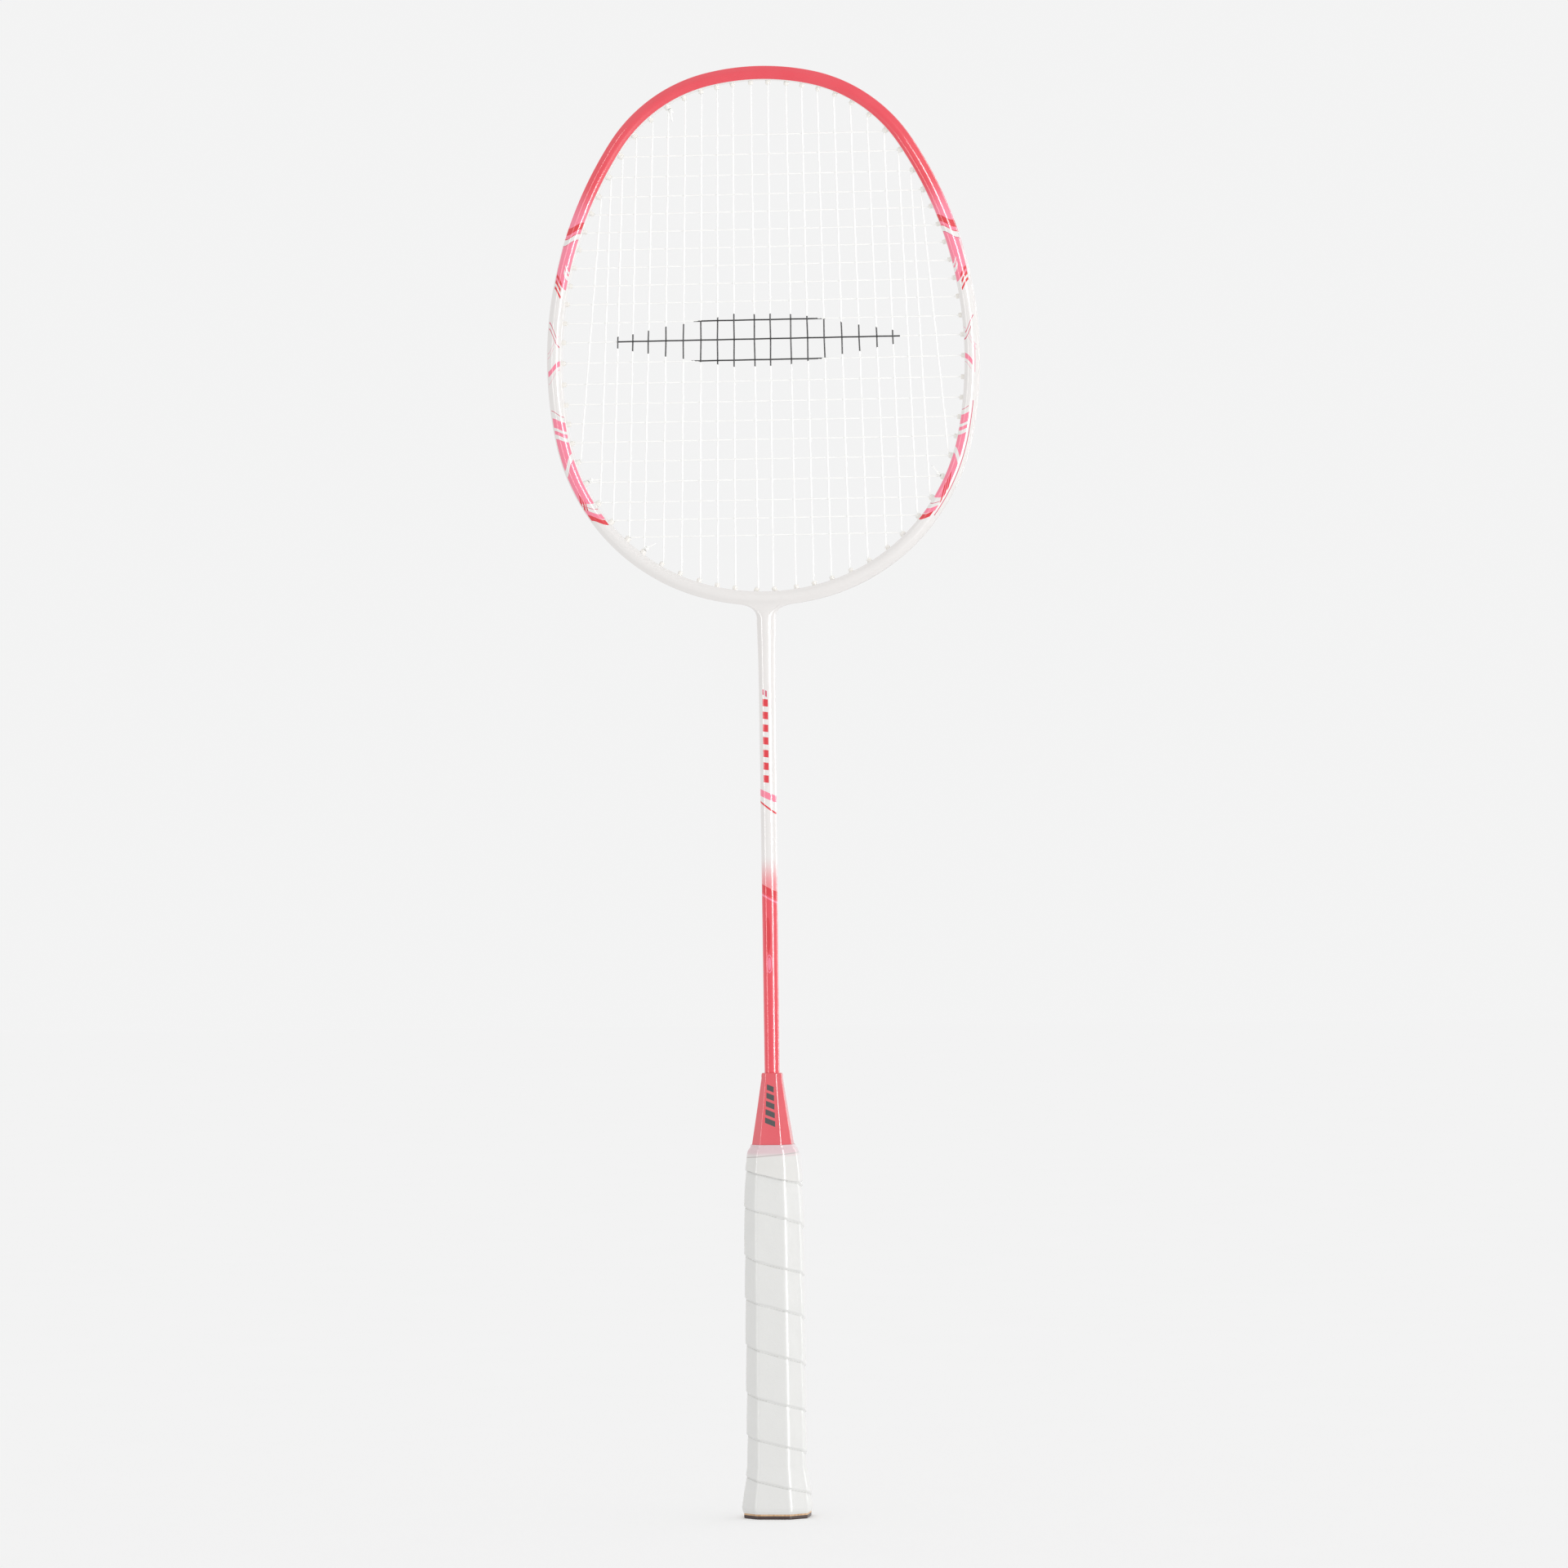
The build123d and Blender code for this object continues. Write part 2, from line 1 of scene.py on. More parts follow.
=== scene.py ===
import math
import bmesh
import bpy
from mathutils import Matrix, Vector


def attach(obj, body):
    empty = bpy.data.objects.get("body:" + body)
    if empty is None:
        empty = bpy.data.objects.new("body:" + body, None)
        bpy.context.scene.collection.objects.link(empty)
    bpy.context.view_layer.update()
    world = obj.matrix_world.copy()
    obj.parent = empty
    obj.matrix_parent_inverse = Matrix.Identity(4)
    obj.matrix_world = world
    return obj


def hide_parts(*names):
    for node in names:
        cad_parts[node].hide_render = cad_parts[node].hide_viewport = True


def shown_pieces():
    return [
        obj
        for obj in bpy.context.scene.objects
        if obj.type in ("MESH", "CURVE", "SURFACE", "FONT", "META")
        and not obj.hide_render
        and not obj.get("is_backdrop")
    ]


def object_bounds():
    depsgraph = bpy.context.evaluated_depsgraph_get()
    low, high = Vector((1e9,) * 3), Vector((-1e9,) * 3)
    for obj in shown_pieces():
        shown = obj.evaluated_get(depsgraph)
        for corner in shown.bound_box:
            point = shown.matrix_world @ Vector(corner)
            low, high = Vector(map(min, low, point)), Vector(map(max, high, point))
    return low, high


# Looks of a strung badminton racket. Pieces are worked out in millimetres, in the frame of the
# CAD model: +Z runs from the butt to the crown, X across the head, Y through it.
# A place on the hoop is given by the angle its outline has turned through since the crown
# (0 at the crown, 180 at the throat, negative on the left), and by an inset from its outer edge.

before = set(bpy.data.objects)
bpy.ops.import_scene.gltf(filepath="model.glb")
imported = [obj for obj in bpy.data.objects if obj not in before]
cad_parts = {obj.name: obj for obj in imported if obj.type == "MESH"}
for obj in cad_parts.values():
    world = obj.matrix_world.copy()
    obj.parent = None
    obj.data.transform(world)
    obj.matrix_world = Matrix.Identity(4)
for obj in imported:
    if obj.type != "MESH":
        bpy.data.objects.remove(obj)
cad_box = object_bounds()
MM = 0.001
LENGTH = cad_box[1].z / MM

# Hoop outline: radius of its outer edge, and the angle at which that arc ends.
THROAT_Z = 424.0
CROWN_R, CROWN_END = 114.0, 12.7
SHOULDER_R, SHOULDER_END = 74.0, 56.5
SIDE_R, SIDE_END = 186.0, 101.5
LOWER_END = 165.8
HOOP_STEP = 1.5

# Hoop section: (inset, depth, corner radius), from the inner front corner to the inner back one.
HOOP_W = 6.6
GROOVE_DEPTH, GROOVE_HALF = 1.6, 1.6
HOOP_FRONT = [(HOOP_W, -3.1, 1.1), (3.6, -5.55, 2.6)]
HOOP_FRONT += [(0.0, -2.8, 0.9), (0.0, -GROOVE_HALF, 0.25), (GROOVE_DEPTH, -GROOVE_HALF, 0.2)]
SECTION = HOOP_FRONT + [(inset, -depth, radius) for inset, depth, radius in reversed(HOOP_FRONT)]
HOOP_ARC_STEPS, HOOP_SIDE_STEPS = 7, 4

# Reach, the inset that the hoop's bands are painted by: BARE in the groove and by the outer edge,
# and drawn in toward the inner edge on the quarters where the lower bands are wide.
OUTER_MARGIN, GROOVE_MARGIN, BARE = 0.4, 0.05, -0.5
INNER_REACH = 7.0
WIDE_FROM, WIDE_SPAN, WIDE_SHARE = 156.0, 8.0, 0.585

# Neck: where it leaves the hoop's outer wall, how it curves there, and its radius at each height
# below the flare.
FLARE_X, FLARE_INSET, FLARE_DEPTH, FLARE_FOOT_Z = 10.5, 1.4, 3.0, 418.0
FLARE_SKIN, FLARE_SKIN_POWER, FLARE_PULL = 0.5, 6, 0.2
FLARE_ROWS = 14
NECK = [(FLARE_FOOT_Z, 4.45), (414.0, 4.4), (408.0, 4.22), (402.0, 4.05), (393.0, 3.96), (385.0, 3.9)]
SHAFT = [(385.0, 3.9), (340.0, 3.79), (300.0, 3.7), (255.0, 3.6), (210.0, 3.5), (62.0, 3.5)]
ROUND_SIDES = 48
FIRST_SPOKE = -45

# String pattern: spacing of the mains from the middle out, their fan, and the cross heights.
MAIN_STEPS = [4.4, 9.3, 8.0, 8.1, 8.5, 8.4, 8.5, 7.2, 7.2, 6.2, 8.4]
MAIN_MID_Z = 540.0
MAIN_FAN, EDGE_FAN = 0.00055, 0.0011
CROSS_TOP_Z = 643.5
CROSS_STEPS = [9.1, 8.8, 8.8, 8.4, 8.4, 8.3, 8.4, 8.5, 8.6, 8.9, 9.0]
CROSS_STEPS += [9.8, 9.9, 9.6, 9.0, 9.0, 9.5, 9.3, 9.0, 9.0, 8.7]
NEAR_CROWN, MID_SIDE, NEAR_THROAT = 0.01, 89.0, 179.9
STRING_R, STRING_SIDES = 0.35, 8
LIFT, WEAVE_STEPS = 0.36, 6
LANE = 0.4
MERGE_GAP = 3.0
THROAT_EXIT = 176.2
MOUTH_INSET, RUN_INSET = 8.8, 0.65
MOUTH_BEND, GROOVE_BEND = 1.2, 0.9
STRAIGHT, ARC_DEGREES, TOO_CLOSE = 88.0, 18.0, 0.01
GROOVE_PACE = 6.0
CROSSING_CLEAR = 2.0
SIDE_BY_SIDE = 0.4
TIED_CROSS, TIED_UPPER, TIED_LOWER = 18, 5, 6

# Grommets.
BARREL_R, BORE_R = 1.15, 0.8
DOUBLE_BARREL_R, DOUBLE_BORE_R = 1.4, 1.06
FLANGE_R, FLANGE_T, FLANGE_GAP = 1.5, 0.4, 0.03
BARREL_PROUD = 1.8
GROMMET_SIDES = 20

# Knots: a coil of the string's end, and its clipped tail.
COIL_R, COIL_TURNS, COIL_LENGTH = 0.68, 2.6, 1.75
COIL_SINK, COIL_RISE, COIL_STEPS = 0.2, 0.25, 14
TAIL_LENGTH, TAIL_STEPS = 4.0, 5

# Handle: across-flats sizes over X; over Y they are less by FLATTEN.
FLATTEN, FLATTEN_WIDTH = 2.2, 23.0
CORNER = 0.235
CONE = [(158.0, 22.7), (173.7, 18.6), (190.0, 13.6), (204.2, 9.5)]
CONE += [(205.4, 9.6), (206.3, 9.3), (206.7, 8.6)]
GRIP = [(2.4, 30.4), (3.4, 31.3), (5.0, 31.8), (12.0, 30.2), (24.0, 26.9)]
GRIP += [(142.0, 27.0), (160.0, 25.4), (169.0, 23.0)]
TAPE = [(158.8, 25.85), (165.0, 24.5), (168.0, 23.8), (170.0, 23.2)]
TAPE += [(171.4, 22.0), (172.2, 20.6), (173.4, 20.0)]
TAPE_OVER_GRIP = 0.33
GRIP_ROUND, CONE_ROUND, TAPE_ROUND = 3.2, 1.1, 2.8
CONE_TIP_Z, CONE_TIP_ROUND = 206.0, 1.2
GRIP_ROW = 0.35
TAPE_WALL, TAPE_ROWS, TAPE_SLANT, TAPE_RIPPLE = 0.2, 40, 3.0, 0.1

# Wrap: heights of its seams at the middle of the front; then, for one turn, the drop from its lower
# edge to its upper one, the part of it that the rounded lower edge takes and the extra drop there,
# the swell of its middle, and the tuck under the next turn.
SEAMS = [178.0, 158.7, 141.2, 117.6, 98.2, 76.4, 54.1, 34.8, 15.8, -4.0]
WRAP_STEP, WRAP_POWER = 0.55, 1.2
WRAP_LIP, WRAP_LIP_DROP = 0.035, 0.1
WRAP_SWELL = 0.1
WRAP_TUCK, TUCK_FROM, TUCK_SPAN = 0.14, 0.93, 0.07


# ---------------------------------------------------------------- meshes

def make_piece(name, points, faces, values=None, crease=None):
    """Mesh object from points in mm, with outward normals and named float values on its points."""
    mesh = bpy.data.meshes.new(name)
    mesh.from_pydata([(x * MM, y * MM, z * MM) for x, y, z in points], [], faces)
    for key, numbers in (values or {}).items():
        mesh.attributes.new(key, "FLOAT", "POINT").data.foreach_set("value", numbers)
    turned = bmesh.new()
    turned.from_mesh(mesh)
    bmesh.ops.recalc_face_normals(turned, faces=turned.faces)
    turned.to_mesh(mesh)
    turned.free()
    mesh.shade_smooth()
    if crease is not None:
        mesh.set_sharp_from_angle(angle=math.radians(crease))
    piece = bpy.data.objects.new(name, mesh)
    bpy.context.collection.objects.link(piece)
    return piece


def finish_piece(piece, paint, slot, *nodes):
    """Give a piece its material and body, and let it stand for its CAD nodes. Its slot is not used."""
    piece.data.materials.append(paint)
    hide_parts(*nodes)
    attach(piece, "root")
    return piece


def ring_faces(rings, size, closed=False, first=0):
    """Quads between neighbouring rings of equal size, with end faces unless the rings close."""
    faces = []
    for i in range(rings if closed else rings - 1):
        here, there = first + i * size, first + (i + 1) % rings * size
        for j in range(size):
            k = (j + 1) % size
            faces.append((here + j, here + k, there + k, there + j))
    if not closed:
        faces.append(tuple(range(first, first + size)))
        faces.append(tuple(range(first + (rings - 1) * size, first + rings * size)))
    return faces


def arc_between(centre, start, end, steps):
    """Points of an arc about a centre, from one spoke to another of the same length."""
    radius = start.length
    return [centre + start.slerp(end, k / steps).normalized() * radius for k in range(steps + 1)]


def rounded_corner(before, corner, after, radius, steps=None):
    """Points of the arc that rounds a corner, or the corner alone where the line is nearly straight."""
    back, ahead = (before - corner).normalized(), (after - corner).normalized()
    half = back.angle(ahead) / 2
    if math.degrees(half) > STRAIGHT:
        return [corner]
    centre = corner + (back + ahead).normalized() * (radius / math.sin(half))
    pull = radius / math.tan(half)
    start, end = corner + back * pull - centre, corner + ahead * pull - centre
    steps = steps or max(2, round((180 - math.degrees(2 * half)) / ARC_DEGREES))
    return arc_between(centre, start, end, steps)


def rounded_profile(corners, arc_steps, side_steps):
    """Closed outline through (x, y, radius) corners, as points along its arcs and sides."""
    spots = [Vector((x, y)) for x, y, _ in corners]
    arcs = []
    for i, (_, _, radius) in enumerate(corners):
        following = spots[(i + 1) % len(spots)]
        arcs.append(rounded_corner(spots[i - 1], spots[i], following, radius, arc_steps))
    outline = []
    for arc, following in zip(arcs, arcs[1:] + arcs[:1]):
        outline += arc
        outline += [arc[-1].lerp(following[0], k / side_steps) for k in range(1, side_steps)]
    return [(p.x, p.y) for p in outline]


def circle(z, radius):
    """Ring round the Z axis, from the right front diagonal, turning through the front."""
    turns = [math.radians(FIRST_SPOKE - 360 * k / ROUND_SIDES) for k in range(ROUND_SIDES)]
    return [(radius * math.cos(a), radius * math.sin(a), z) for a in turns]


def tube(route, radius):
    """Rings of a round tube along a route, turned as little as possible from one to the next."""
    rings = []
    across = (route[1] - route[0]).orthogonal().normalized()
    for i, point in enumerate(route):
        ahead = (route[min(i + 1, len(route) - 1)] - route[max(i - 1, 0)]).normalized()
        across = (across - ahead * across.dot(ahead)).normalized()
        other = ahead.cross(across)
        for k in range(STRING_SIDES):
            a = math.tau * k / STRING_SIDES
            rings.append(point + (across * math.cos(a) + other * math.sin(a)) * radius)
    return rings


def rounded_route(path):
    """Points along straight runs joined by tangent arcs, through (point, radius) pairs."""
    route = [path[0][0]]
    for (before, _), (corner, radius), (after, _) in zip(path, path[1:], path[2:]):
        route += rounded_corner(before, corner, after, radius) if radius else [corner]
    return route + [path[-1][0]]


# ---------------------------------------------------------------- hoop outline

def turn(angle):
    """Outward normal and heading at a turned angle, as (x, z) pairs."""
    a = math.radians(angle)
    return (math.sin(a), math.cos(a)), (math.cos(a), -math.sin(a))


def outline_arcs():
    """Right half of the outer edge: (radius, end angle, centre x, centre z).

    The last two radii are the ones that bring the outline back to the middle at the throat.
    """
    radii = [CROWN_R, SHOULDER_R, SIDE_R]
    stops = [0.0, CROWN_END, SHOULDER_END, SIDE_END, LOWER_END, 180.0]
    sines = [math.sin(math.radians(s)) for s in stops]
    cosines = [math.cos(math.radians(s)) for s in stops]
    across = [sines[i + 1] - sines[i] for i in range(5)]
    down = [cosines[i] - cosines[i + 1] for i in range(5)]
    need_x = -sum(r * k for r, k in zip(radii, across))
    need_z = LENGTH - THROAT_Z - sum(r * k for r, k in zip(radii, down))
    det = across[3] * down[4] - across[4] * down[3]
    radii.append((need_x * down[4] - across[4] * need_z) / det)
    radii.append((across[3] * need_z - need_x * down[3]) / det)
    arcs = []
    cx, cz = 0.0, LENGTH - radii[0]
    for i, r in enumerate(radii):
        if i:
            (nx, nz), _ = turn(stops[i])
            cx += (radii[i - 1] - r) * nx
            cz += (radii[i - 1] - r) * nz
        arcs.append((r, stops[i + 1], cx, cz))
    return arcs


ARCS = outline_arcs()


def on_hoop(angle, inset):
    """(x, z) of a place on the hoop."""
    size = min(abs(angle), 180.0)
    r, _, cx, cz = next(arc for arc in ARCS if size <= arc[1])
    (nx, nz), _ = turn(size)
    return math.copysign(cx + (r - inset) * nx, angle), cz + (r - inset) * nz


def hoop_stations():
    """Places down the right side from the crown to the throat: (angle, distance from the crown)."""
    stations = [(0.0, 0.0)]
    start, distance = 0.0, 0.0
    for r, end, _, _ in ARCS:
        span = math.radians(end - start) * (r - HOOP_W / 2)
        steps = math.ceil(span / HOOP_STEP)
        for k in range(1, steps + 1):
            stations.append((start + (end - start) * k / steps, distance + span * k / steps))
        start, distance = end, distance + span
    return stations


# ---------------------------------------------------------------- hoop and neck

def hermite(start, leave, end, arrive, t):
    """Point at t on the smooth curve between two places with given headings."""
    a, b = 2 * t ** 3 - 3 * t ** 2 + 1, t ** 3 - 2 * t ** 2 + t
    c, d = 3 * t ** 2 - 2 * t ** 3, t ** 3 - t ** 2
    return start * a + leave * b + end * c + arrive * d


def flare(points, lo, hi, size, near, far):
    """Rings that carry the open patch of the hoop's outer wall down to the top of the neck."""

    def at(i, j):
        return points[i * size + j]

    front = [(i, near) for i in range(lo, hi + 1)]
    left = [(hi, j) for j in range(near + 1, far + 1)]
    back = [(i, far) for i in range(hi - 1, lo - 1, -1)]
    right = [(lo, j) for j in range(far - 1, near, -1)]
    rim = front + left + back + right
    spans = [len(front) - 1, len(left), len(back), len(right) + 1]
    turns = [quarter + k / span for quarter, span in enumerate(spans) for k in range(span)]
    rings = []
    for row in range(1, FLARE_ROWS + 1):
        for (i, j), quarter in zip(rim, turns):
            start = at(i, j)
            a = math.radians(FIRST_SPOKE - 90 * quarter)
            foot, radius = NECK[0]
            end = Vector((radius * math.cos(a), radius * math.sin(a), foot))
            side = 1 if j <= (near + far) / 2 else -1
            flank = at(i, near) - at(i, near - 1) if side > 0 else at(i, far) - at(i, far + 1)
            inward = at(i, near) - at(i - 1, near) if i == lo else at(i, near) - at(i + 1, near)
            edge = 1.0 if i in (lo, hi) else min(1.0, abs(start.x) / FLARE_X) ** 2
            skin = FLARE_SKIN * min(1.0, abs(start.y) / abs(at(i, near).y)) ** FLARE_SKIN_POWER
            if i not in (lo, hi):
                inward = Vector((-start.x, 0, 0))
            heading = flank.normalized() * (1 - edge + edge * skin) + inward.normalized() * edge
            reach = (end - start).length * (1.0 + FLARE_PULL * edge)
            leave, arrive = heading.normalized() * reach, Vector((0, 0, -reach))
            rings.append(hermite(start, leave, end, arrive, row / FLARE_ROWS))
    return rim, rings


def flare_edge(profile, side):
    """Point of the hoop's profile where the flare begins: in front for side -1, behind for side 1."""
    deep = [j for j, (_, y) in enumerate(profile) if y * side > FLARE_DEPTH]
    return min(deep, key=lambda j: abs(profile[j][0] - FLARE_INSET))


def wide_reach(inset, distance):
    """Reach on the quarters where the lower bands cover the whole face."""
    spread = min(1.0, max(0.0, (distance - WIDE_FROM) / WIDE_SPAN))
    return inset + (INNER_REACH - (INNER_REACH - inset) * WIDE_SHARE - inset) * spread


def make_hoop():
    """Hoop, throat and neck as one skin, from the crown round to the crown again."""
    profile = rounded_profile(SECTION, HOOP_ARC_STEPS, HOOP_SIDE_STEPS)
    size = len(profile)
    right = hoop_stations()
    total = right[-1][1]
    stations = right + [(-angle, distance) for angle, distance in right[-2:0:-1]]
    points, along, inset, reach = [], [], [], []
    for angle, distance in stations:
        for deep, y in profile:
            x, z = on_hoop(angle, deep)
            points.append(Vector((x, y, z)))
            along.append(distance)
            inset.append(deep)
            groove = deep < HOOP_W / 2 and abs(y) < GROOVE_HALF + GROOVE_MARGIN
            if groove or deep < OUTER_MARGIN:
                reach.append(BARE)
            else:
                reach.append(wide_reach(deep, distance) if x * y > 0 else deep)
    throat = len(right) - 1
    lo = next(i for i in range(throat, 0, -1) if points[i * size].x > FLARE_X)
    hi = 2 * throat - lo
    near, far = flare_edge(profile, -1), flare_edge(profile, 1)
    faces = []
    for i in range(len(stations)):
        for j in range(size):
            if lo <= i < hi and near <= j < far:
                continue
            below, beside = (i + 1) % len(stations), (j + 1) % size
            faces.append((i * size + j, i * size + beside, below * size + beside, below * size + j))
    rim, rings = flare(points, lo, hi, size, near, far)
    loop = [i * size + j for i, j in rim]
    count = len(loop)
    first = len(points)
    points += rings
    for k in range(count):
        beside = (k + 1) % count
        faces.append((loop[k], loop[beside], first + beside, first + k))
    span = [math.atan2(p.y, p.x) for p in rings[-count:]]
    for z, radius in NECK[1:]:
        points += [Vector((radius * math.cos(a), radius * math.sin(a), z)) for a in span]
    rows = FLARE_ROWS + len(NECK) - 1
    faces += ring_faces(rows, count, first=first)
    faces.remove(tuple(range(first, first + count)))
    extra = len(points) - first
    along += [total] * extra
    inset += [HOOP_W / 2] * extra
    reach += [HOOP_W / 2] * extra
    sway = [math.cos(math.pi * deep / HOOP_W) / 2 for deep in inset]
    values = {"along": along, "inset": inset, "sway": sway, "reach": reach}
    piece = make_piece("hoop_and_neck", points, faces, values, crease=60)
    finish_piece(piece, hoop_paint(), "frame_paint", "head_frame")


# ---------------------------------------------------------------- string pattern

def crossing_angle(miss, low, high):
    """Angle at which a signed miss distance changes sign, by halving."""
    below = miss(low) > 0
    for _ in range(50):
        middle = (low + high) / 2
        if (miss(middle) > 0) == below:
            low = middle
        else:
            high = middle
    return (low + high) / 2


def main_angles():
    """Upper and lower hole angles of the mains on the right, from the middle out."""
    upper, lower = [], []
    offset = 0.0
    for number, step in enumerate(MAIN_STEPS):
        offset += step
        fan = EDGE_FAN if number == len(MAIN_STEPS) - 1 else MAIN_FAN

        def miss(angle):
            x, z = on_hoop(angle, HOOP_W)
            return x - offset * (1 - fan * (z - MAIN_MID_Z))

        upper.append(crossing_angle(miss, NEAR_CROWN, MID_SIDE))
        lower.append(crossing_angle(miss, MID_SIDE, NEAR_THROAT))
    return upper, lower


def cross_angles():
    """Hole angles of the crosses on the right, from the top down."""
    heights = [CROSS_TOP_Z - sum(CROSS_STEPS[:k]) for k in range(len(CROSS_STEPS) + 1)]
    ends = NEAR_CROWN, NEAR_THROAT
    return [crossing_angle(lambda a: on_hoop(a, HOOP_W)[1] - height, *ends) for height in heights]


def string_holes():
    """Hole angles for mains and crosses; a main and a cross that nearly meet share one hole."""
    upper, lower = main_angles()
    crosses = cross_angles()
    shared = []
    for mains in (upper, lower):
        for i, angle in enumerate(mains):
            for j, other in enumerate(crosses):
                apart = Vector(on_hoop(angle, HOOP_W)) - Vector(on_hoop(other, HOOP_W))
                if apart.length < MERGE_GAP:
                    mains[i] = crosses[j] = (angle + other) / 2
                    shared.append(mains[i])
    return upper, lower, crosses, shared


UPPER, LOWER, CROSSES, SHARED = string_holes()
COUNT = len(UPPER)
MAIN_TIE = CROSSES[TIED_CROSS]
START_TIE, END_TIE = -UPPER[TIED_UPPER], -LOWER[TIED_LOWER]
DOUBLES = {s * side for s in SHARED for side in (1, -1)} | {MAIN_TIE, -MAIN_TIE, START_TIE, END_TIE}


def hole_point(angle, inset, aside=0.0, lane=0.0):
    """Place on a hole's axis at an inset, moved along the hoop and through its depth."""
    outer_angle = math.copysign(THROAT_EXIT, angle) if abs(angle) == LOWER[0] else angle
    (x0, z0), (x1, z1) = on_hoop(angle, HOOP_W), on_hoop(outer_angle, GROOVE_DEPTH)
    start, end = Vector((x0, 0, z0)), Vector((x1, 0, z1))
    _, (tx, tz) = turn(abs(angle))
    along = Vector((math.copysign(1, angle) * tx, 0, tz)) * aside
    part = (HOOP_W - inset) / (HOOP_W - GROOVE_DEPTH)
    return start.lerp(end, part) + along + Vector((0, lane, 0))


def thread(angle, aside, lane):
    """A string in a hole: at its mouth and in the groove, with the bend radius at each."""
    groove = hole_point(angle, RUN_INSET, aside, lane)
    return [(groove, GROOVE_BEND), (hole_point(angle, MOUTH_INSET, aside), MOUTH_BEND)]


def main_thread(angle):
    """Mains lie on the side of a double hole that faces their straight run."""
    toward = SIDE_BY_SIDE if abs(angle) < 90 else -SIDE_BY_SIDE
    return thread(angle, toward if angle in DOUBLES else 0.0, LANE)


def cross_thread(angle):
    """Crosses lie on the other side of a double hole, and in the other lane of the groove."""
    toward = -SIDE_BY_SIDE if abs(angle) < 90 else SIDE_BY_SIDE
    return thread(angle, toward if angle in DOUBLES else 0.0, -LANE)


def main_ends(i, side):
    return main_thread(side * UPPER[i])[1][0], main_thread(side * LOWER[i])[1][0]


def crossings():
    """Where each cross meets each main: (cross, main, side) to (x, z, which is in front)."""
    found = {}
    for j, angle in enumerate(CROSSES):
        mouth = cross_thread(angle)[1][0]
        for side in (-1, 1):
            for i in range(COUNT):
                top, foot = main_ends(i, side)
                if not foot.z + CROSSING_CLEAR < mouth.z < top.z - CROSSING_CLEAR:
                    continue
                x = top.lerp(foot, (top.z - mouth.z) / (top.z - foot.z)).x
                if abs(x) > mouth.x - CROSSING_CLEAR:
                    continue
                number = COUNT + i if side > 0 else COUNT - 1 - i
                found[j, i, side] = (x, mouth.z, 1 if (number + j) % 2 == 0 else -1)
    return found


CROSSINGS = crossings()


def weave(start, end, stops):
    """Points from one mouth to the other, swaying over and under at (part of the way, lift) stops."""
    stops = [(0.0, 0.0)] + sorted(stops) + [(1.0, 0.0)]
    points = []
    for (t0, y0), (t1, y1) in zip(stops, stops[1:]):
        for k in range(1, WEAVE_STEPS + 1):
            part = k / WEAVE_STEPS
            y = y0 + (y1 - y0) * (1 - math.cos(math.pi * part)) / 2
            points.append((start.lerp(end, t0 + (t1 - t0) * part) + Vector((0, y, 0)), 0.0))
    return points[:-1]


def main_route():
    """The main string, from its knot on the left to its knot on the right."""
    halves = []
    for side in (-1, 1):
        half = []
        for i in range(COUNT):
            top, foot = main_ends(i, side)
            stops = []
            for (_, number, hand), (_, z, front) in CROSSINGS.items():
                if number == i and hand == side:
                    stops.append(((top.z - z) / (top.z - foot.z), LIFT * front))
            upper, lower = main_thread(side * UPPER[i]), main_thread(side * LOWER[i])
            run = upper + weave(top, foot, stops) + lower[::-1]
            half += run if i % 2 == 0 else run[::-1]
        halves.append(half + thread(side * MAIN_TIE, -SIDE_BY_SIDE, LANE))
    return halves[0][::-1] + halves[1]


def groove_run(start, end):
    """Places along the groove between two holes, on the crosses' side of it."""
    parts = max(1, round(abs(end - start) / GROOVE_PACE))
    steps = [start + (end - start) * k / parts for k in range(1, parts)]
    places = [on_hoop(a, RUN_INSET) for a in steps]
    return [(Vector((x, -LANE, z)), 0.0) for x, z in places]


def cross_route():
    """The cross string, from its upper knot to its lower one."""
    path = thread(START_TIE, -SIDE_BY_SIDE, -LANE)[::-1] + groove_run(START_TIE, -CROSSES[0])
    for j, angle in enumerate(CROSSES):
        side = -1 if j % 2 == 0 else 1
        into, out = cross_thread(side * angle), cross_thread(-side * angle)
        start, end = into[1][0], out[1][0]
        stops = []
        for (number, _, _), (x, _, front) in CROSSINGS.items():
            if number == j:
                stops.append(((x - start.x) / (end.x - start.x), -LIFT * front))
        path += into + weave(start, end, stops) + out[::-1]
    path += groove_run(-CROSSES[-1], END_TIE)
    return path + thread(END_TIE, SIDE_BY_SIDE, -LANE)


def make_strings():
    paint = string_paint()
    for name, path in (("main_string", main_route()), ("cross_string", cross_route())):
        route = rounded_route(path)
        route = [p for k, p in enumerate(route) if not k or (p - route[k - 1]).length > TOO_CLOSE]
        points = tube(route, STRING_R)
        faces = ring_faces(len(route), STRING_SIDES)
        finish_piece(make_piece(name + "_woven", points, faces), paint, "string_nylon", name)


# ---------------------------------------------------------------- grommets and knots

def grommet_profile(length, radius, bore):
    """Closed half section of a grommet, with eased edges: (distance from its tip, radius)."""
    top = length + FLANGE_T
    wall = [(top, bore + 0.1), (top - 0.12, bore), (0.2, bore), (0.0, bore + 0.12), (0.0, radius - 0.2)]
    wall += [(0.06, radius - 0.08), (0.2, radius - 0.02), (0.45, radius), (length - 0.3, radius)]
    wall += [(length, radius + 0.12), (length, FLANGE_R - 0.1), (length + 0.1, FLANGE_R)]
    return wall + [(top - 0.1, FLANGE_R), (top, FLANGE_R - 0.12)]


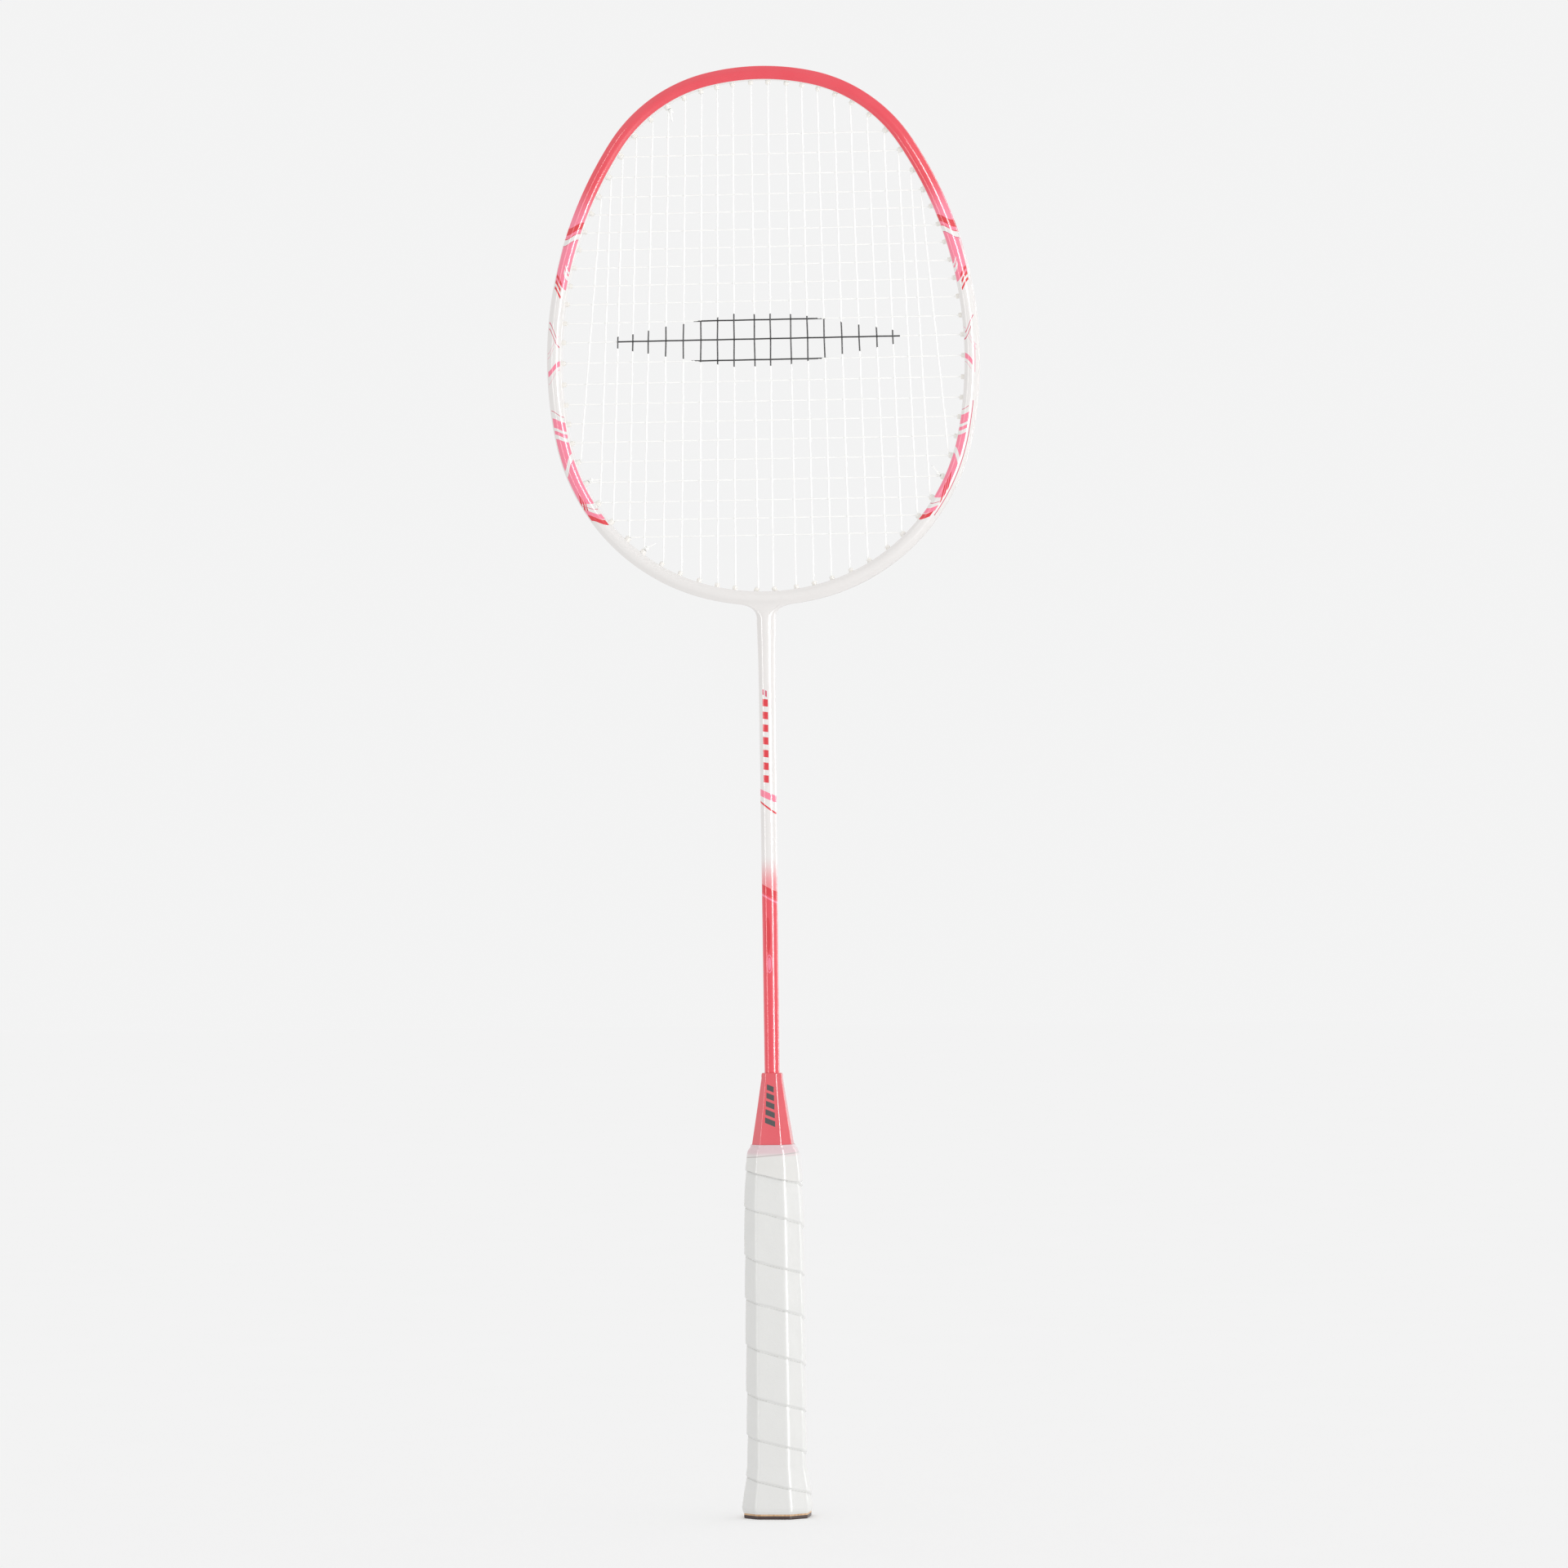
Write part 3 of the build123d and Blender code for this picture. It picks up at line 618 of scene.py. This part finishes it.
def grommet(angle):
    """Rings of one flanged barrel, turned round its hole's axis."""
    double = angle in DOUBLES
    radius, bore = (DOUBLE_BARREL_R, DOUBLE_BORE_R) if double else (BARREL_R, BORE_R)
    tip, seat = hole_point(angle, HOOP_W + BARREL_PROUD), hole_point(angle, GROOVE_DEPTH - FLANGE_GAP)
    axis = (seat - tip).normalized()
    across = Vector((0, 1, 0))
    other = axis.cross(across)
    profile = grommet_profile((seat - tip).length, radius, bore)
    points = []
    for k in range(GROMMET_SIDES):
        a = math.tau * k / GROMMET_SIDES
        spoke = across * math.cos(a) + other * math.sin(a)
        points += [tip + axis * d + spoke * r for d, r in profile]
    return points, len(profile)


def make_grommets():
    groups = {}
    for size in sorted(set(UPPER + LOWER + CROSSES)):
        for angle in (size, -size):
            if angle in DOUBLES:
                name = "double_grommets"
            elif size in UPPER:
                name = "grommets_top"
            elif size in LOWER:
                name = "grommets_bottom"
            else:
                name = "grommets_left" if angle < 0 else "grommets_right"
            groups.setdefault(name, []).append(angle)
    paint = nylon_paint()
    for name, angles in groups.items():
        points, faces = [], []
        for angle in angles:
            barrel, size = grommet(angle)
            faces += ring_faces(GROMMET_SIDES, size, closed=True, first=len(points))
            points += barrel
        piece = make_piece(name + "_moulded", points, faces, crease=50)
        finish_piece(piece, paint, "grommet_nylon", name)


def knot_route(angle, aside):
    """The string's end, coiled round its hole's axis inside the hoop and clipped off."""
    mouth = hole_point(angle, MOUTH_INSET - COIL_SINK, aside)
    deep = hole_point(angle, MOUTH_INSET + 1.0, aside)
    axis = (deep - mouth).normalized()
    across = Vector((0, 1, 0))
    other = axis.cross(across)
    steps = round(COIL_TURNS * COIL_STEPS)
    route = [mouth, mouth + axis * 0.05 + across * COIL_R * 0.5]
    for k in range(steps + 1):
        a = math.tau * COIL_TURNS * k / steps
        spoke = across * math.cos(a) + other * math.sin(a)
        route.append(mouth + axis * (COIL_RISE + COIL_LENGTH * k / steps) + spoke * COIL_R)
    lean = (axis * 2 + (route[-1] - route[-2]).normalized()).normalized()
    for _ in range(TAIL_STEPS):
        route.append(route[-1] + lean * (TAIL_LENGTH / TAIL_STEPS))
    return route


def make_knots():
    ties = [(MAIN_TIE, -SIDE_BY_SIDE), (-MAIN_TIE, -SIDE_BY_SIDE)]
    ties += [(START_TIE, -SIDE_BY_SIDE), (END_TIE, SIDE_BY_SIDE)]
    points, faces = [], []
    for angle, aside in ties:
        route = knot_route(angle, aside)
        faces += ring_faces(len(route), STRING_SIDES, first=len(points))
        points += tube(route, STRING_R)
    piece = make_piece("tie_off_coils", points, faces)
    finish_piece(piece, string_paint(), "string_nylon", "tie_off_knots")


# ---------------------------------------------------------------- shaft and cone

def make_shaft():
    points = []
    for z, radius in SHAFT:
        points += circle(z, radius)
    piece = make_piece("shaft_tube", points, ring_faces(len(SHAFT), ROUND_SIDES), crease=60)
    finish_piece(piece, shaft_paint(), "shaft_paint", "shaft")


def octagon(width, rounding, shrink=0.0, arc_steps=4, side_steps=6):
    """Rounded octagon of the handle, seen from above, as (x, y) points."""
    depth = width - FLATTEN * min(1.0, (width / FLATTEN_WIDTH) ** 3)
    leg = CORNER * width
    half_x, half_y = width / 2 - shrink, depth / 2 - shrink
    quarter = [(half_x, half_y - leg), (half_x - leg, half_y)]
    points = quarter + [(-x, y) for x, y in reversed(quarter)]
    points += [(-x, -y) for x, y in points]
    return rounded_profile([(x, y, rounding) for x, y in points], arc_steps, side_steps)


def width_at(z, sections):
    """Width of the handle at a height, between its given sections."""
    for (z0, w0), (z1, w1) in zip(sections, sections[1:]):
        if z <= z1:
            return w0 + (w1 - w0) * (max(z, z0) - z0) / (z1 - z0)
    return sections[-1][1]


def make_cone():
    points = []
    for z, width in CONE:
        ring = octagon(width, CONE_ROUND if z < CONE_TIP_Z else CONE_TIP_ROUND)
        points += [(x, y, z) for x, y in ring]
    piece = make_piece("cone_shell", points, ring_faces(len(CONE), len(ring)))
    finish_piece(piece, cone_paint(), "cone_paint", "cone")


# ---------------------------------------------------------------- grip and finishing tape

def wrap_turns(z):
    """How many turns of the grip lie above a height, at the middle of the front."""
    for k, (high, low) in enumerate(zip(SEAMS, SEAMS[1:])):
        if z >= low:
            return k + (high - z) / (high - low)
    return len(SEAMS) - 1


def wrap_drop(part):
    """How far the wrap lies below its outer edge, at a part of the way up from one seam to the next."""
    if part < WRAP_LIP:
        lip = part / WRAP_LIP
        return WRAP_STEP * (1 - math.sin(lip * math.pi / 2)) + WRAP_LIP_DROP * (1 - lip)
    rise = (part - WRAP_LIP) / (1 - WRAP_LIP)
    swell = WRAP_SWELL * math.sin(math.pi * rise)
    tuck = WRAP_TUCK * max(0.0, (rise - TUCK_FROM) / TUCK_SPAN)
    return WRAP_STEP * rise ** WRAP_POWER - swell + tuck


def make_grip():
    low, high = GRIP[0][0], GRIP[-1][0]
    rows = round((high - low) / GRIP_ROW)
    points, above = [], []
    for row in range(rows + 1):
        z = low + (high - low) * row / rows
        ring = octagon(width_at(z, GRIP), GRIP_ROUND, arc_steps=5, side_steps=8)
        turns = wrap_turns(z)
        for x, y in ring:
            around = math.atan2(x, -y) / math.tau
            part = (around - turns) % 1.0
            scale = 1 - wrap_drop(part) / math.hypot(x, y)
            points.append((x * scale, y * scale, z))
            above.append(part)
    piece = make_piece("grip_wrap", points, ring_faces(rows + 1, len(ring)), {"above": above}, crease=60)
    finish_piece(piece, grip_paint(), "grip_film", "grip_tape")


def make_tape():
    """Closed shell of thin tape: up its outside and down its inside."""
    low, high = TAPE[0][0], TAPE[-1][0]
    parts = [row / TAPE_ROWS for row in range(TAPE_ROWS + 1)]
    points = []
    for wall, order in ((0.0, parts), (TAPE_WALL, parts[::-1])):
        for part in order:
            level = low + (high - low) * part
            outline = octagon(width_at(level, TAPE), TAPE_ROUND, wall)
            for k, (x, y) in enumerate(outline):
                z = level - TAPE_SLANT * (1 - part) ** 2 * math.sin(math.atan2(x, -y))
                width = width_at(z, TAPE) if z > low else width_at(z, GRIP) + TAPE_OVER_GRIP
                x, y = octagon(width, TAPE_ROUND, wall)[k]
                wave = math.sin(part * math.tau + math.atan2(x, -y)) ** 2
                scale = 1 - TAPE_RIPPLE * wave / math.hypot(x, y)
                points.append((x * scale, y * scale, z))
    size = len(outline)
    rings = len(points) // size
    piece = make_piece("finishing_band", points, ring_faces(rings, size, closed=True))
    finish_piece(piece, tape_paint(), "band_tape", "finishing_tape")


# ---------------------------------------------------------------- materials

def rgb(red, green, blue):
    """Linear colour from 0-255 display values."""
    display = [v / 255 for v in (red, green, blue)]
    linear = [v / 12.92 if v <= 0.04045 else ((v + 0.055) / 1.055) ** 2.4 for v in display]
    return (*linear, 1.0)


CORAL, PINK, DEEP = rgb(234, 72, 86), rgb(248, 132, 158), rgb(222, 40, 54)
WHITE, ROSE, INK = rgb(233, 230, 228), rgb(214, 84, 112), rgb(20, 18, 20)
BLUSH, FADED, CONE_RED = rgb(238, 168, 184), rgb(240, 142, 148), rgb(226, 66, 80)


class Paint:
    """Node tree of one material, with short calls for the nodes that it needs."""

    def __init__(self, name, **sockets):
        self.material = bpy.data.materials.new(name)
        self.material.use_nodes = True
        self.nodes = self.material.node_tree.nodes
        self.links = self.material.node_tree.links
        self.shader = self.nodes["Principled BSDF"]
        for key, value in sockets.items():
            self.shader.inputs[key.replace("_", " ")].default_value = value
        self.place = self.nodes.new("ShaderNodeTexCoord").outputs["Object"]

    def feed(self, node, *values):
        """Set or link a node's inputs in order."""
        for socket, value in zip(node.inputs, values):
            if isinstance(value, bpy.types.NodeSocket):
                self.links.new(value, socket)
            elif value is not None:
                socket.default_value = value

    def math(self, operation, *values):
        node = self.nodes.new("ShaderNodeMath")
        node.operation = operation
        self.feed(node, *values)
        return node.outputs[0]

    def value(self, name):
        """A named float that the mesh carries."""
        node = self.nodes.new("ShaderNodeAttribute")
        node.attribute_name = name
        return node.outputs["Fac"]

    def axes(self):
        """X, Y and Z in mm."""
        node = self.nodes.new("ShaderNodeSeparateXYZ")
        self.feed(node, self.place)
        return [self.math("DIVIDE", out, MM) for out in node.outputs]

    def mix(self, factor, under, over):
        node = self.nodes.new("ShaderNodeMix")
        node.data_type = "RGBA"
        self.feed(node, factor, None, None, None, None, None, under, over)
        return node.outputs[2]

    def fade(self, value, low, high):
        """0 up to low, 1 from high, smooth between."""
        node = self.nodes.new("ShaderNodeMapRange")
        node.interpolation_type = "SMOOTHSTEP"
        self.feed(node, value, low, high, 0.0, 1.0)
        return node.outputs[0]

    def noise(self, size, detail=2.0, stretch=None):
        """Noise with grains of a size in mm, pulled out along an axis if stretch says so."""
        place = self.place
        if stretch:
            pull = self.nodes.new("ShaderNodeMapping")
            self.feed(pull, place, None, None, stretch)
            place = pull.outputs[0]
        node = self.nodes.new("ShaderNodeTexNoise")
        self.feed(node, place, None, 1 / (size * MM), detail)
        return node.outputs["Fac"]

    def within(self, value, low, high):
        return self.math("COMPARE", value, (low + high) / 2, (high - low) / 2)

    def bands(self, under, along, sway, across, rows):
        """Paint bands over a colour: (from, to, skew, across from, across to, colour)."""
        for start, end, skew, low, high, colour in rows:
            place = self.math("MULTIPLY_ADD", sway, -skew, along)
            mask = self.math("MULTIPLY", self.within(place, start, end), self.within(across, low, high))
            under = self.mix(mask, under, colour)
        return under

    def colour(self, colour, grain, strength):
        """Base colour, made a little uneven by a noise."""
        dim = self.nodes.new("ShaderNodeHueSaturation")
        self.feed(dim, 0.5, 1.04, 1 - strength, 1.0, colour)
        self.links.new(self.mix(grain, colour, dim.outputs[0]), self.shader.inputs["Base Color"])

    def rough(self, grain, low, high):
        node = self.nodes.new("ShaderNodeMapRange")
        self.feed(node, grain, 0.3, 0.7, low, high)
        self.links.new(node.outputs[0], self.shader.inputs["Roughness"])

    def bump(self, height, depth):
        """Relief of a depth in mm."""
        node = self.nodes.new("ShaderNodeBump")
        node.inputs["Strength"].default_value = 1.0
        node.inputs["Distance"].default_value = depth * MM
        self.links.new(height, node.inputs["Height"])
        self.links.new(node.outputs[0], self.shader.inputs["Normal"])


def lacquer(name, gloss=1.6):
    """Glossy clear lacquer over paint, with its faint orange peel."""
    paint = Paint(name, Coat_Weight=1.0, Coat_Roughness=0.05, Coat_IOR=gloss, Specular_IOR_Level=0.25)
    paint.bump(paint.noise(1.6), 0.004)
    paint.rough(paint.noise(9.0), 0.28, 0.42)
    return paint


# Bands of the hoop, each painted over those before it: distances from the crown in mm, skew, from and
# to across it by reach, colour. A positive skew puts a band's outer end lower than its inner end.
FULL = (-1.0, INNER_REACH)
INNER = (2.6, INNER_REACH)
HOOP_BANDS = [
    (119.5, 123.0, 5.0, *FULL, DEEP),
    (124.8, 125.2, 5.0, *FULL, DEEP),
    (125.2, 128.0, 5.0, *FULL, WHITE),
    (128.0, 128.35, 5.0, *FULL, ROSE),
    (137.2, 138.3, -9.0, 3.9, 6.4, WHITE),
    (139.3, 141.4, -9.0, 3.9, 6.4, WHITE),
    (146.6, 148.0, -6.0, 0.4, 4.0, DEEP),
    (149.2, 150.7, -6.0, 0.4, 4.0, DEEP),
    (151.9, 153.2, -6.0, 0.8, 4.6, DEEP),
    (170.2, 170.9, -9.0, 1.2, 5.6, ROSE),
    (172.9, 173.6, -9.0, 2.6, 6.4, ROSE),
    (176.2, 176.5, 9.0, 0.8, 6.2, BLUSH),
    (178.4, 178.7, 9.0, 0.8, 5.0, BLUSH),
    (186.5, 189.0, 5.0, *INNER, PINK),
    (191.4, 191.7, 7.0, 3.2, 7.0, BLUSH),
    (180.0, 193.0, 0.0, 1.4, 1.7, BLUSH),
    (208.6, 208.95, -4.0, 3.2, 7.0, ROSE),
    (211.8, 216.2, -3.0, *INNER, PINK),
    (217.6, 219.4, -3.0, *INNER, PINK),
    (221.4, 253.4, -3.0, *INNER, PINK),
    (206.0, 262.0, 0.0, 1.3, 1.65, ROSE),
    (232.0, 235.0, 7.0, *INNER, WHITE),
    (243.6, 245.8, 16.0, 2.3, 4.3, DEEP),
    (247.0, 249.2, 16.0, 2.3, 4.5, DEEP),
    (250.4, 252.6, 16.0, 2.3, 4.7, DEEP),
    (255.6, 256.0, -5.0, 2.4, 7.0, ROSE),
    (258.2, 261.2, -6.0, 2.4, 7.0, PINK),
    (261.2, 264.4, -7.0, 2.8, 6.4, DEEP),
]
# Grounds below the bands: where coral fades to pink, where white begins and its skew, and the insets
# of the white along the outer edge and the inner one.
CROWN_FADE = (99.0, 120.0)
FIELD_END, FIELD_SKEW = 148.4, 4.0
OUTER_WHITE, OUTER_FADE = 0.5, (124.0, 140.0)
INNER_WHITE = 6.25


def hoop_paint():
    paint = lacquer("hoop_lacquer")
    along, inset, sway = paint.value("along"), paint.value("inset"), paint.value("sway")
    base = paint.mix(paint.fade(along, *CROWN_FADE), CORAL, PINK)
    field = paint.math("MULTIPLY_ADD", sway, FIELD_SKEW, along)
    base = paint.mix(paint.math("GREATER_THAN", field, FIELD_END), base, WHITE)
    edge = paint.math("LESS_THAN", inset, OUTER_WHITE)
    outer = paint.math("MULTIPLY", edge, paint.fade(along, *OUTER_FADE))
    base = paint.mix(outer, base, WHITE)
    base = paint.bands(base, along, sway, paint.value("reach"), HOOP_BANDS)
    base = paint.mix(paint.math("GREATER_THAN", inset, INNER_WHITE), base, WHITE)
    paint.colour(base, paint.noise(14.0, 3.0), 0.04)
    return paint.material


# Bands of the shaft: heights in mm, drop from left to right, then from and to round its front.
DASHES = [(341.6 + 5.9 * k, 345.0 + 5.9 * k, 1.0, -1.7, 0.8, DEEP) for k in range(7)]
SHAFT_BANDS = DASHES + [
    (381.6, 384.4, 4.5, -1.7, -0.9, ROSE),
    (381.6, 384.4, 4.5, -0.4, 0.4, ROSE),
    (334.0, 337.2, 3.4, -5.4, 5.4, PINK),
    (329.6, 330.6, 5.7, -5.4, 5.4, DEEP),
    (200.0, 292.8, 3.9, -12.0, 12.0, CORAL),
    (289.0, 292.8, 3.9, -12.0, 12.0, DEEP),
    (287.3, 288.2, 4.0, -12.0, 12.0, PINK),
]
SHAFT_FADE = (293.0, 308.0)
SHAFT_MEAN_R, SHAFT_SWAY = 3.65, 0.28
# Ovals on its front: height, place round it, half height, half width, colour.
OVALS = [
    (270.7, -0.65, 8.3, 1.3, DEEP),
    (257.4, -0.1, 4.3, 1.5, PINK),
    (257.4, -0.1, 3.7, 1.15, CORAL),
    (257.4, -0.1, 3.0, 0.8, PINK),
]


def shaft_paint():
    paint = lacquer("shaft_lacquer")
    x, y, z = paint.axes()
    turned = paint.math("ARCTAN2", x, paint.math("MULTIPLY", y, -1.0))
    around = paint.math("MULTIPLY", turned, SHAFT_MEAN_R)
    sway = paint.math("MULTIPLY", paint.math("SINE", paint.math("MULTIPLY", around, SHAFT_SWAY)), -0.5)
    base = paint.mix(paint.fade(z, *SHAFT_FADE), FADED, WHITE)
    base = paint.bands(base, z, sway, around, SHAFT_BANDS)
    for height, side, tall, wide, colour in OVALS:
        up = paint.math("DIVIDE", paint.math("SUBTRACT", z, height), tall)
        out = paint.math("DIVIDE", paint.math("SUBTRACT", around, side), wide)
        reach = paint.math("ADD", paint.math("MULTIPLY", up, up), paint.math("MULTIPLY", out, out))
        base = paint.mix(paint.math("LESS_THAN", reach, 1.0), base, colour)
    paint.colour(base, paint.noise(12.0, 3.0), 0.04)
    return paint.material


# Plain bars on the front of the cone: heights, lean, then from and to across it.
CONE_BARS = [(182.6 + 3.9 * k, 185.2 + 3.9 * k, 1.6, -2.6 + 0.2 * k, 2.2 - 0.2 * k, INK) for k in range(5)]


def cone_paint():
    paint = lacquer("cone_lacquer", 1.95)
    x, y, z = paint.axes()
    lean = paint.math("MULTIPLY", x, -0.25)
    marked = paint.bands(CONE_RED, z, lean, x, CONE_BARS)
    front = paint.math("LESS_THAN", y, 0.0)
    paint.colour(paint.mix(front, CONE_RED, marked), paint.noise(7.0, 3.0), 0.06)
    return paint.material


def grip_paint():
    """Tacky polyurethane film with fine grain, with painted shade in the creases of its wrap."""
    paint = Paint("grip_film_wrap", Coat_Weight=0.45, Coat_Roughness=0.18, Subsurface_Weight=0.08)
    paint.shader.inputs["Subsurface Radius"].default_value = (0.002, 0.002, 0.0018)
    above = paint.value("above")
    # Painted shade: the wrap is darkened just below each seam, where the next turn overlaps it.
    crease = paint.fade(above, 0.955, 1.0)
    base = paint.mix(crease, rgb(226, 226, 224), rgb(194, 194, 190))
    paint.colour(base, paint.noise(10.0, 4.0), 0.05)
    paint.rough(paint.noise(5.0, 3.0), 0.3, 0.5)
    grain = paint.math("ADD", paint.noise(0.45, 2.0), paint.math("MULTIPLY", paint.noise(6.0, 3.0), 3.0))
    paint.bump(grain, 0.09)
    return paint.material


# Finishing tape: heights where the cone starts to show through, and of a thin line of painted shade where
# the grip's top edge lies under the tape, with its lean.
TAPE_FADE = (167.5, 170.3)
EDGE_SHADE, EDGE_SHADE_LEAN = (168.3, 168.8), -0.09


def tape_paint():
    """Glossy finishing tape, through which the cone's red shows faintly at its top."""
    paint = Paint("finishing_film", Coat_Weight=0.8, Coat_Roughness=0.1, Roughness=0.3)
    x, _, z = paint.axes()
    base = paint.mix(paint.fade(z, *TAPE_FADE), rgb(226, 225, 222), rgb(222, 196, 200))
    edge_shade = paint.math("MULTIPLY_ADD", x, EDGE_SHADE_LEAN, z)
    # Painted shade: a thin darker line along the grip's top edge under the tape.
    base = paint.mix(paint.within(edge_shade, *EDGE_SHADE), base, rgb(198, 190, 188))
    paint.colour(base, paint.noise(6.0, 3.0), 0.06)
    paint.bump(paint.noise(2.2, 3.0, (1.0, 1.0, 2.5)), 0.03)
    return paint.material


def nylon_paint():
    """Moulded white nylon, a little milky."""
    paint = Paint("grommet_nylon_white", Roughness=0.35, Subsurface_Weight=0.15)
    paint.shader.inputs["Subsurface Radius"].default_value = (0.001, 0.001, 0.0009)
    paint.colour(rgb(244, 241, 236), paint.noise(3.0), 0.06)
    paint.bump(paint.noise(0.5), 0.006)
    return paint.material


# Stencilled lozenge on the string bed: middle, half length and half height, half height and slope at
# its ends, and the grain and depth of its ragged edge.
STENCIL_MID = (-2.0, 547.7)
STENCIL_HALF = (66.5, 12.2)
STENCIL_END, STENCIL_SLOPE = 2.8, 0.175
STENCIL_GRAIN, STENCIL_RAGGED = 1.2, 1.6


def string_paint():
    """White multifilament nylon, with a plain black stencilled lozenge across the bed."""
    paint = Paint("string_multifilament", Roughness=0.32, Coat_Weight=0.3, Coat_Roughness=0.2)
    x, _, z = paint.axes()
    out = paint.math("ABSOLUTE", paint.math("SUBTRACT", x, STENCIL_MID[0]))
    up = paint.math("ABSOLUTE", paint.math("SUBTRACT", z, STENCIL_MID[1]))
    left = paint.math("SUBTRACT", STENCIL_HALF[0], out)
    tall = paint.math("MULTIPLY_ADD", left, STENCIL_SLOPE, STENCIL_END)
    tall = paint.math("MINIMUM", tall, STENCIL_HALF[1])
    least = paint.math("SUBTRACT", tall, STENCIL_RAGGED / 2)
    ragged = paint.math("MULTIPLY_ADD", paint.noise(STENCIL_GRAIN, 3.0), STENCIL_RAGGED, least)
    low, short = paint.math("LESS_THAN", up, ragged), paint.math("GREATER_THAN", left, 0.0)
    inside = paint.math("MULTIPLY", low, short)
    base = paint.mix(inside, rgb(254, 254, 252), INK)
    paint.colour(base, paint.noise(2.0, 3.0), 0.05)
    paint.bump(paint.noise(0.25, 2.0), 0.01)
    return paint.material


def wood_paint():
    paint = Paint("handle_wood_bare", Roughness=0.6)
    grain = paint.noise(0.9, 4.0, (1.0, 1.0, 0.06))
    base = paint.mix(paint.fade(grain, 0.35, 0.7), rgb(226, 190, 150), rgb(196, 152, 110))
    paint.colour(base, paint.noise(8.0), 0.1)
    paint.bump(grain, 0.03)
    return paint.material


def cap_paint():
    paint = Paint("butt_cap_moulded", Coat_Weight=0.1)
    paint.colour(rgb(66, 46, 41), paint.noise(4.0, 3.0), 0.15)
    paint.rough(paint.noise(2.0), 0.42, 0.58)
    paint.bump(paint.noise(0.35), 0.015)
    return paint.material


def tee_paint():
    paint = Paint("tee_cast_alloy", Metallic=1.0)
    paint.colour(rgb(176, 178, 182), paint.noise(3.0, 4.0), 0.12)
    paint.rough(paint.noise(1.0, 4.0), 0.35, 0.55)
    paint.bump(paint.noise(0.4, 3.0), 0.02)
    return paint.material


def repaint(node, paint):
    """Give a CAD node that keeps its own shape its finished material."""
    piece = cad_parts[node]
    for slot in piece.material_slots:
        slot.material = paint
    if not piece.material_slots:
        piece.data.materials.append(paint)


# ---------------------------------------------------------------- stage, lights and camera

CAMERA_AZIMUTH, CAMERA_DISTANCE, CAMERA_LENS = 8.0, 3.5, 172.7
CAMERA_ROLL = 0.75
AIM_ASIDE, AIM_Z = 0.0073, 0.3409
FLOOR_HALF = 7.0
SKY = 0.9
FLOOR_GLOW = 0.04
# Lights: bearing from the camera's side, in degrees to the right; distance, width, height, power.
# The softboxes light surfaces alone, and the strips show in glossy reflections alone.
SOFTBOXES = [(42.0, 1.5, 0.5, 1.5, 6.0), (128.0, 1.6, 0.3, 1.6, 4.0), (-150.0, 1.6, 0.3, 1.6, 5.0)]
STRIPS = [(41.0, 1.5, 0.5, 2.2, 42.0), (-58.0, 1.6, 0.2, 2.2, 9.0), (128.0, 1.6, 0.3, 2.2, 9.0)]
LAMP_MID_Z = 0.45


def bearing(azimuth):
    """Level direction from the racket: 0 is toward -Y, and it turns toward +X."""
    a = math.radians(azimuth)
    return Vector((math.sin(a), -math.cos(a), 0))


def make_stage():
    floor = bpy.data.meshes.new("floor")
    corners = [(-1, -1), (1, -1), (1, 1), (-1, 1)]
    floor.from_pydata([(x * FLOOR_HALF, y * FLOOR_HALF, 0) for x, y in corners], [], [(0, 1, 2, 3)])
    piece = bpy.data.objects.new("floor", floor)
    bpy.context.collection.objects.link(piece)
    paint = Paint("floor_pale", Roughness=0.9, Specular_IOR_Level=0.0, Emission_Strength=FLOOR_GLOW)
    paint.shader.inputs["Emission Color"].default_value = (1.0, 1.0, 1.0, 1.0)
    paint.colour(rgb(250, 250, 250), paint.noise(60.0), 0.01)
    floor.materials.append(paint.material)
    piece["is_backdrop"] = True
    world = bpy.data.worlds.new("studio")
    world.use_nodes = True
    world.node_tree.nodes["Background"].inputs["Color"].default_value = (SKY, SKY, SKY, 1.0)
    bpy.context.scene.world = world


def make_lights():
    """Lamps that light the racket alone, so the floor stays even and hides no part of them."""
    lit = bpy.data.collections.new("lit_by_lamps")
    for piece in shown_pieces():
        lit.objects.link(piece)
    for glossy, rows in ((False, SOFTBOXES), (True, STRIPS)):
        for number, (azimuth, distance, width, height, power) in enumerate(rows):
            light = bpy.data.lights.new(f"{'strip' if glossy else 'softbox'}_{number}", "AREA")
            light.shape = "RECTANGLE"
            light.size, light.size_y, light.energy = width, height, power
            lamp = bpy.data.objects.new(light.name, light)
            toward = bearing(CAMERA_AZIMUTH + azimuth)
            lamp.location = toward * distance + Vector((0, 0, LAMP_MID_Z))
            lamp.rotation_euler = toward.to_track_quat("Z", "Y").to_euler()
            lamp.visible_glossy, lamp.visible_diffuse = glossy, not glossy
            lamp.visible_camera = False
            lamp.light_linking.receiver_collection = lit
            lamp.light_linking.blocker_collection = lit
            bpy.context.collection.objects.link(lamp)


def make_camera():
    lens = bpy.data.cameras.new("camera")
    lens.lens = CAMERA_LENS
    camera = bpy.data.objects.new("camera", lens)
    back = bearing(CAMERA_AZIMUTH)
    aside = Vector((0, 0, 1)).cross(back)
    camera.location = back * CAMERA_DISTANCE + aside * AIM_ASIDE + Vector((0, 0, AIM_Z))
    camera.rotation_euler = back.to_track_quat("Z", "Y").to_euler()
    camera.rotation_euler.rotate_axis("Z", -math.radians(CAMERA_ROLL))
    bpy.context.collection.objects.link(camera)
    bpy.context.scene.camera = camera
    bpy.context.scene.view_settings.view_transform = "Standard"


make_camera()
make_stage()
make_hoop()
make_shaft()
make_cone()
make_grip()
make_tape()
make_grommets()
make_strings()
make_knots()
repaint("handle_core", wood_paint())
repaint("butt_cap", cap_paint())
repaint("t_joint", tee_paint())
make_lights()
